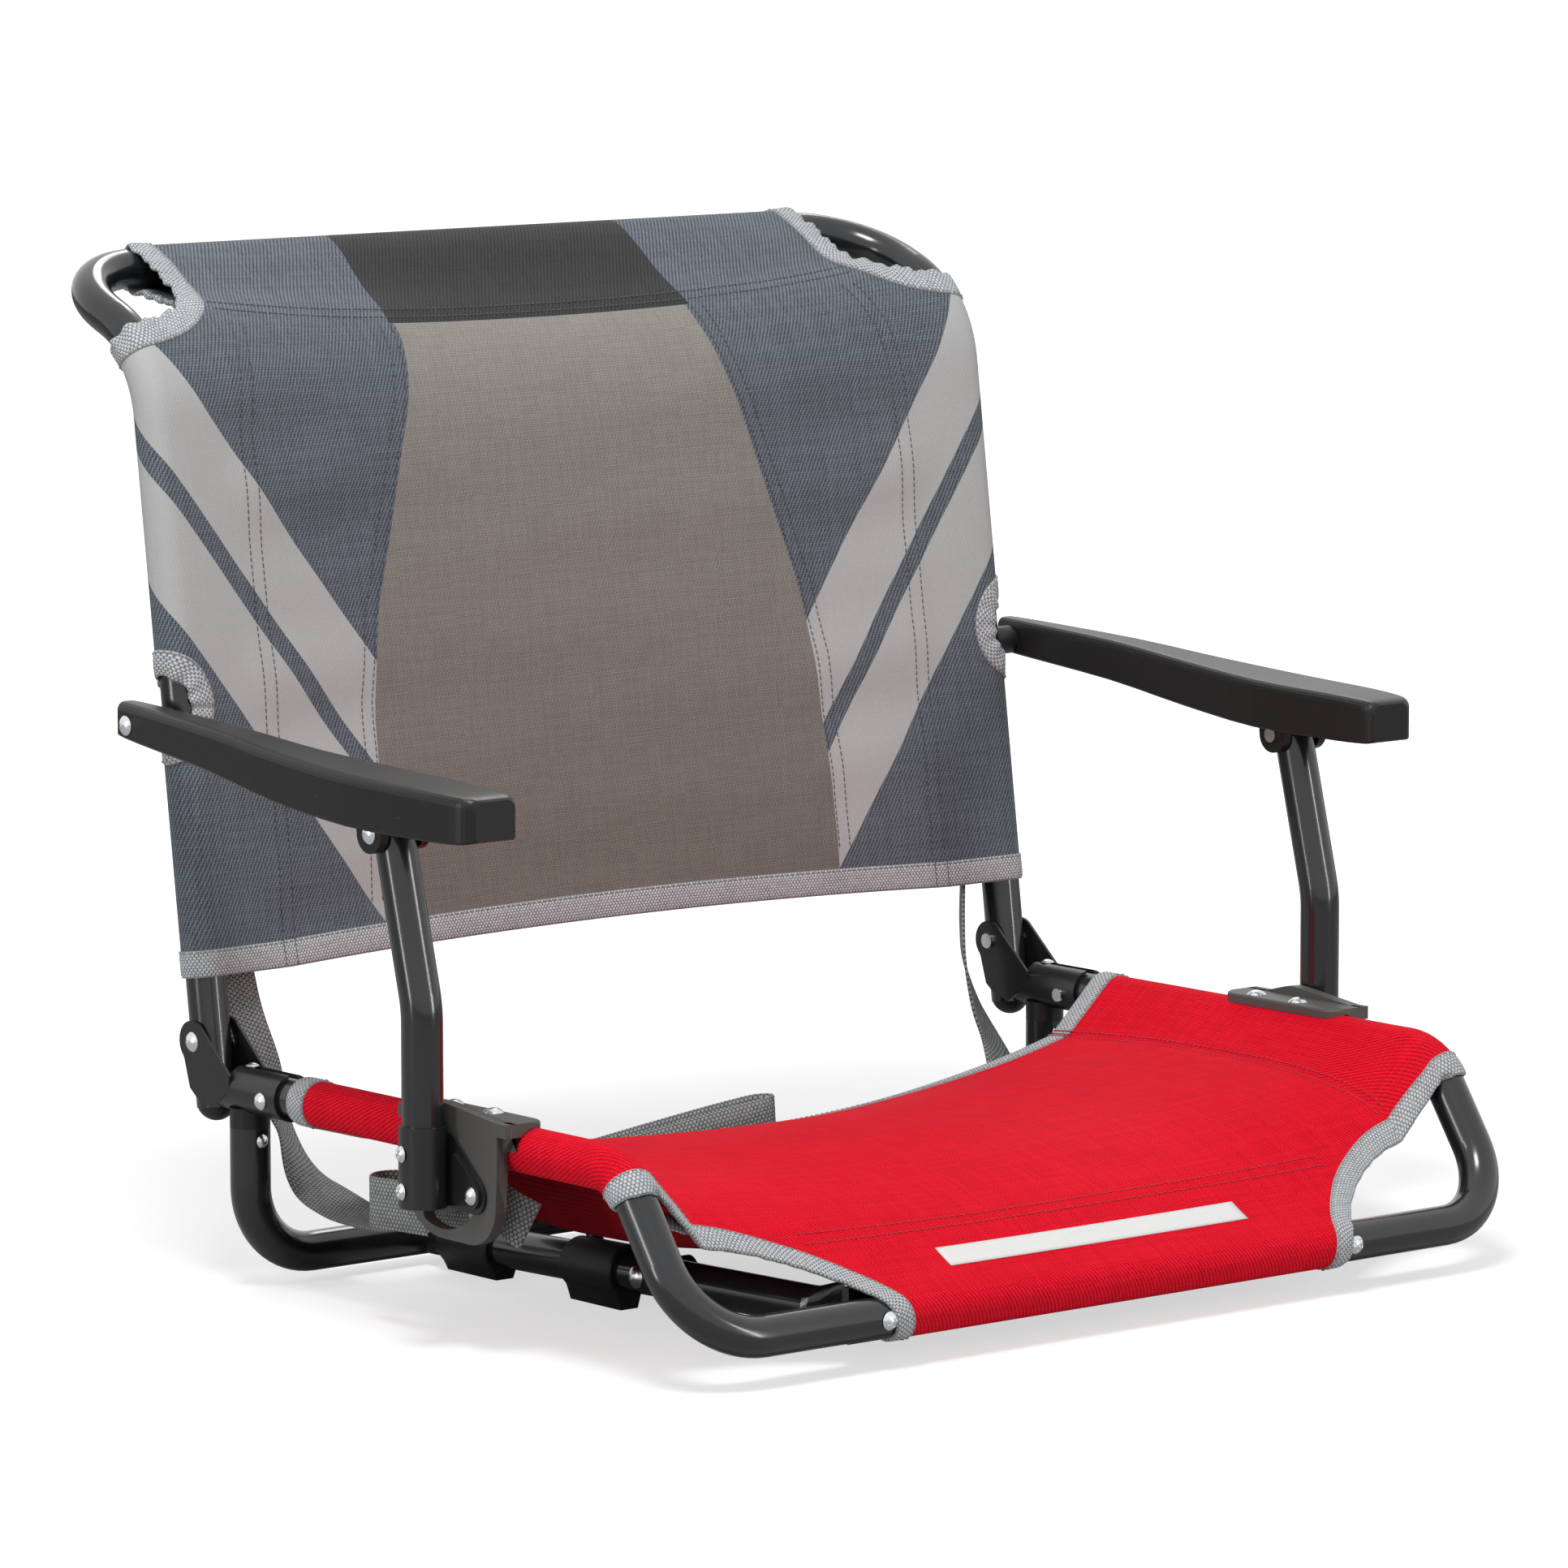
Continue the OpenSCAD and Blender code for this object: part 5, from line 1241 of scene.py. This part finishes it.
def build_glides():
    points = []
    faces = []
    turns = np.radians(np.linspace(-48, 228, 29))
    for side in (1.0, -1.0):
        for back in GLIDE_BACKS:
            y0 = HINGE_Y - back
            z0 = LOWER_Z + (back - LOWER_REAR) * LOWER_RISE
            outline = [(GLIDE_R * math.cos(a), GLIDE_R * math.sin(a)) for a in turns]
            outline += [(-GLIDE_FOOT, -z0), (GLIDE_FOOT, -z0)]
            rings = []
            end = GLIDE_LEN / 2
            for along, shrink in ((-end, GLIDE_EDGE), (1.0 - end, 0.0), (end - 1.0, 0.0),
                                  (end, GLIDE_EDGE)):
                rings.append((along, [(u * (1 - shrink / GLIDE_R), v * (1 - shrink / GLIDE_R)
                                       if v > -z0 + 0.01 else v) for u, v in outline]))
            bore = [(GLIDE_BORE * u / math.hypot(u, v), GLIDE_BORE * v / math.hypot(u, v))
                    for u, v in outline]
            rings += [(end, bore), (-end, bore)]
            base = len(points)
            count = len(outline)
            for along, ring in rings:
                for u, v in ring:
                    rise = 0.0 if v <= -z0 + 0.01 else -along * LOWER_RISE
                    points.append((side * LOWER_X + u, y0 + along, z0 + v + rise))
            faces += ring_faces(len(rings), count, closed=True, base=base)
    glides = make_piece("glide_sleeves", points, outward(points, faces), cap_plastic)
    glides.data.set_sharp_from_angle(angle=math.radians(40))
    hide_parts("bench_glides")
    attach(glides, "seat")


# Screw heads with a cross recess
def cross_head(store, centre, out, radius, height, turn):
    out = np.array(out, float)
    out /= np.linalg.norm(out)
    side = np.cross(out, (0.0, 0.0, 1.0))
    side /= np.linalg.norm(side)
    up = np.cross(side, out)
    u_axis = side * math.cos(turn) + up * math.sin(turn)
    v_axis = np.cross(out, u_axis)
    base = len(store["points"])
    rings = np.append(np.arange(0.3, radius, 0.3), radius)
    sides = 48
    store["points"].append(np.array(centre) + out * (height - 1.5))
    for r in rings:
        for k in range(sides):
            a = 2 * math.pi * k / sides
            u, v = r * math.cos(a), r * math.sin(a)
            thin, long = min(abs(u), abs(v)), max(abs(u), abs(v))
            arm = smooth_step((0.75 - thin) / 0.35) * smooth_step((radius * 0.62 - long) / 0.5)
            rise = height * (1 - (r / radius) ** 2.4) - 1.5 * float(arm)
            spot = np.array(centre) + u_axis * u + v_axis * v
            store["points"].append(spot + out * max(rise, -0.2))
    for k in range(sides):
        n = (k + 1) % sides
        store["faces"].append([base, base + 1 + k, base + 1 + n])
        for j in range(len(rings) - 1):
            a = base + 1 + j * sides
            store["faces"].append([a + k, a + sides + k, a + sides + n, a + n])
    last = base + 1 + (len(rings) - 1) * sides
    store["faces"].append([last + k for k in range(sides)][::-1])


def add_shank(store, start, end, radius):
    start = np.array(start, float)
    end = np.array(end, float)
    run = (end - start) / np.linalg.norm(end - start)
    side = np.cross(run, (0.0, 0.0, 1.0))
    side /= np.linalg.norm(side)
    up = np.cross(run, side)
    base = len(store["points"])
    sides = 20
    for spot in (start, end):
        for k in range(sides):
            a = 2 * math.pi * k / sides
            store["points"].append(spot + (side * math.cos(a) + up * math.sin(a)) * radius)
    for k in range(sides):
        n = (k + 1) % sides
        store["faces"].append([base + k, base + n, base + sides + n, base + sides + k])
    store["faces"].append([base + k for k in range(sides)][::-1])
    store["faces"].append([base + sides + k for k in range(sides)])


def make_screws(name, store):
    piece = make_piece(name, store["points"], outward(store["points"], store["faces"]), zinc)
    piece.data.set_sharp_from_angle(angle=math.radians(50))
    return piece


ARM_X = 290.0
PIVOT_Y = -85.493
PIVOT_Z = 90.0
SCREW_TURN = math.radians(10.0)
HEAD_RISE = 2.3


def build_screws():
    front = new_store()
    for side in (1.0, -1.0):
        spot = (side * LOWER_X, HINGE_Y - SEAT_DEPTH - TUBE_R - 0.3, FRONT_Z)
        cross_head(front, spot, (0, -1, 0), 4.6, HEAD_RISE, 0.3 * side)
    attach(make_screws("front_screw_heads", front), "seat")
    for mark, side in (("left", 1.0), ("right", -1.0)):
        low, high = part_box(f"post_bracket_{mark}")
        wall = max(abs(low[0]), abs(high[0])) / MM - ARM_X
        out = np.array([side * math.cos(SCREW_TURN), math.sin(SCREW_TURN), 0.0])
        screws = new_store()
        for z in (PIVOT_Z + 6, PIVOT_Z - 12):
            axis = np.array([side * ARM_X, PIVOT_Y, z])
            cross_head(screws, axis + out * (wall + 0.05), out, 4.1, HEAD_RISE, 0.5)
            add_shank(screws, axis - out * wall, axis + out * wall, 2.25)
        piece = make_screws(f"post_screw_heads_{mark}", screws)
        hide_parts(f"post_screws_{mark}")
        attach(piece, f"post_{mark}")


build_clamps()
build_glides()
build_screws()

# Materials of the carried-over nodes
FINISH = {"tube": tube_coat, "satin": satin_coat, "plastic": arm_plastic, "cap": cap_plastic,
          "zinc": zinc, "seat_cloth": red_cloth, "back_cloth": back_cloth}
for entry in frame["record"]["subparts"]:
    node = frame["nodes"][entry["node"]]
    node.data.materials.clear()
    node.data.materials.append(FINISH[entry["material_slot"]])


# Floor, world and lamps
def make_floor():
    mesh = bpy.data.meshes.new("floor")
    half = 30.0
    mesh.from_pydata([(-half, -half, 0), (half, -half, 0), (half, half, 0), (-half, half, 0)], [],
                     [[0, 1, 2, 3]])
    floor = bpy.data.objects.new("floor", mesh)
    bpy.context.scene.collection.objects.link(floor)
    material, tree, shader = new_material("pale_floor", 0.9, base=colour(0.5, 0.5, 0.5), level=0.0)
    path = put(tree, "ShaderNodeLightPath")
    place = put(tree, "ShaderNodeTexCoord").outputs["Object"]
    reach = put(tree, "ShaderNodeVectorMath", {0: place}, operation="LENGTH").outputs["Value"]
    far = put(tree, "ShaderNodeMapRange", {"Value": reach, "From Min": 0.35, "From Max": 1.6,
                                           "To Min": 0.62, "To Max": 1.0})
    shader.inputs["Emission Color"].default_value = (1.0, 1.0, 1.0, 1.0)
    tree.links.new(calc(tree, "MULTIPLY", path.outputs["Is Camera Ray"], far.outputs[0]),
                   shader.inputs["Emission Strength"])
    mesh.materials.append(material)


def make_world():
    world = bpy.data.worlds.new("studio")
    world.use_nodes = True
    tree = world.node_tree
    path = put(tree, "ShaderNodeLightPath")
    seen = calc(tree, "MAXIMUM", path.outputs["Is Camera Ray"], calc(
        tree, "MAXIMUM", path.outputs["Is Glossy Ray"], path.outputs["Is Transmission Ray"]))
    background = tree.nodes["Background"]
    background.inputs["Color"].default_value = (1.0, 1.0, 1.0, 1.0)
    tree.links.new(calc(tree, "MULTIPLY_ADD", seen, 0.64, 0.36), background.inputs["Strength"])
    bpy.context.scene.world = world


def make_lamp(name, place, aim, size, power):
    data = bpy.data.lights.new(name, "AREA")
    data.shape = "RECTANGLE"
    data.size, data.size_y = size
    data.energy = power
    lamp = bpy.data.objects.new(name, data)
    lamp.location = place
    direction = np.array(aim, float) - np.array(place, float)
    lamp.rotation_euler = Vector(direction).to_track_quat("-Z", "Y").to_euler()
    bpy.context.scene.collection.objects.link(lamp)


make_floor()
make_world()
make_lamp("key_lamp", (-0.9, -0.7, 2.7), (0, 0, 0.25), (0.8, 0.8), 46)
make_lamp("right_strip_lamp", (1.2, -2.9, 0.9), (0, 0, 0.25), (0.22, 1.5), 18)
make_lamp("left_strip_lamp", (-2.7, 0.1, 0.8), (0, 0, 0.25), (0.3, 1.5), 15)
make_lamp("rear_lamp", (1.6, 1.8, 2.2), (0, 0, 0.3), (0.8, 0.8), 11)

bpy.context.scene.view_settings.view_transform = "Standard"
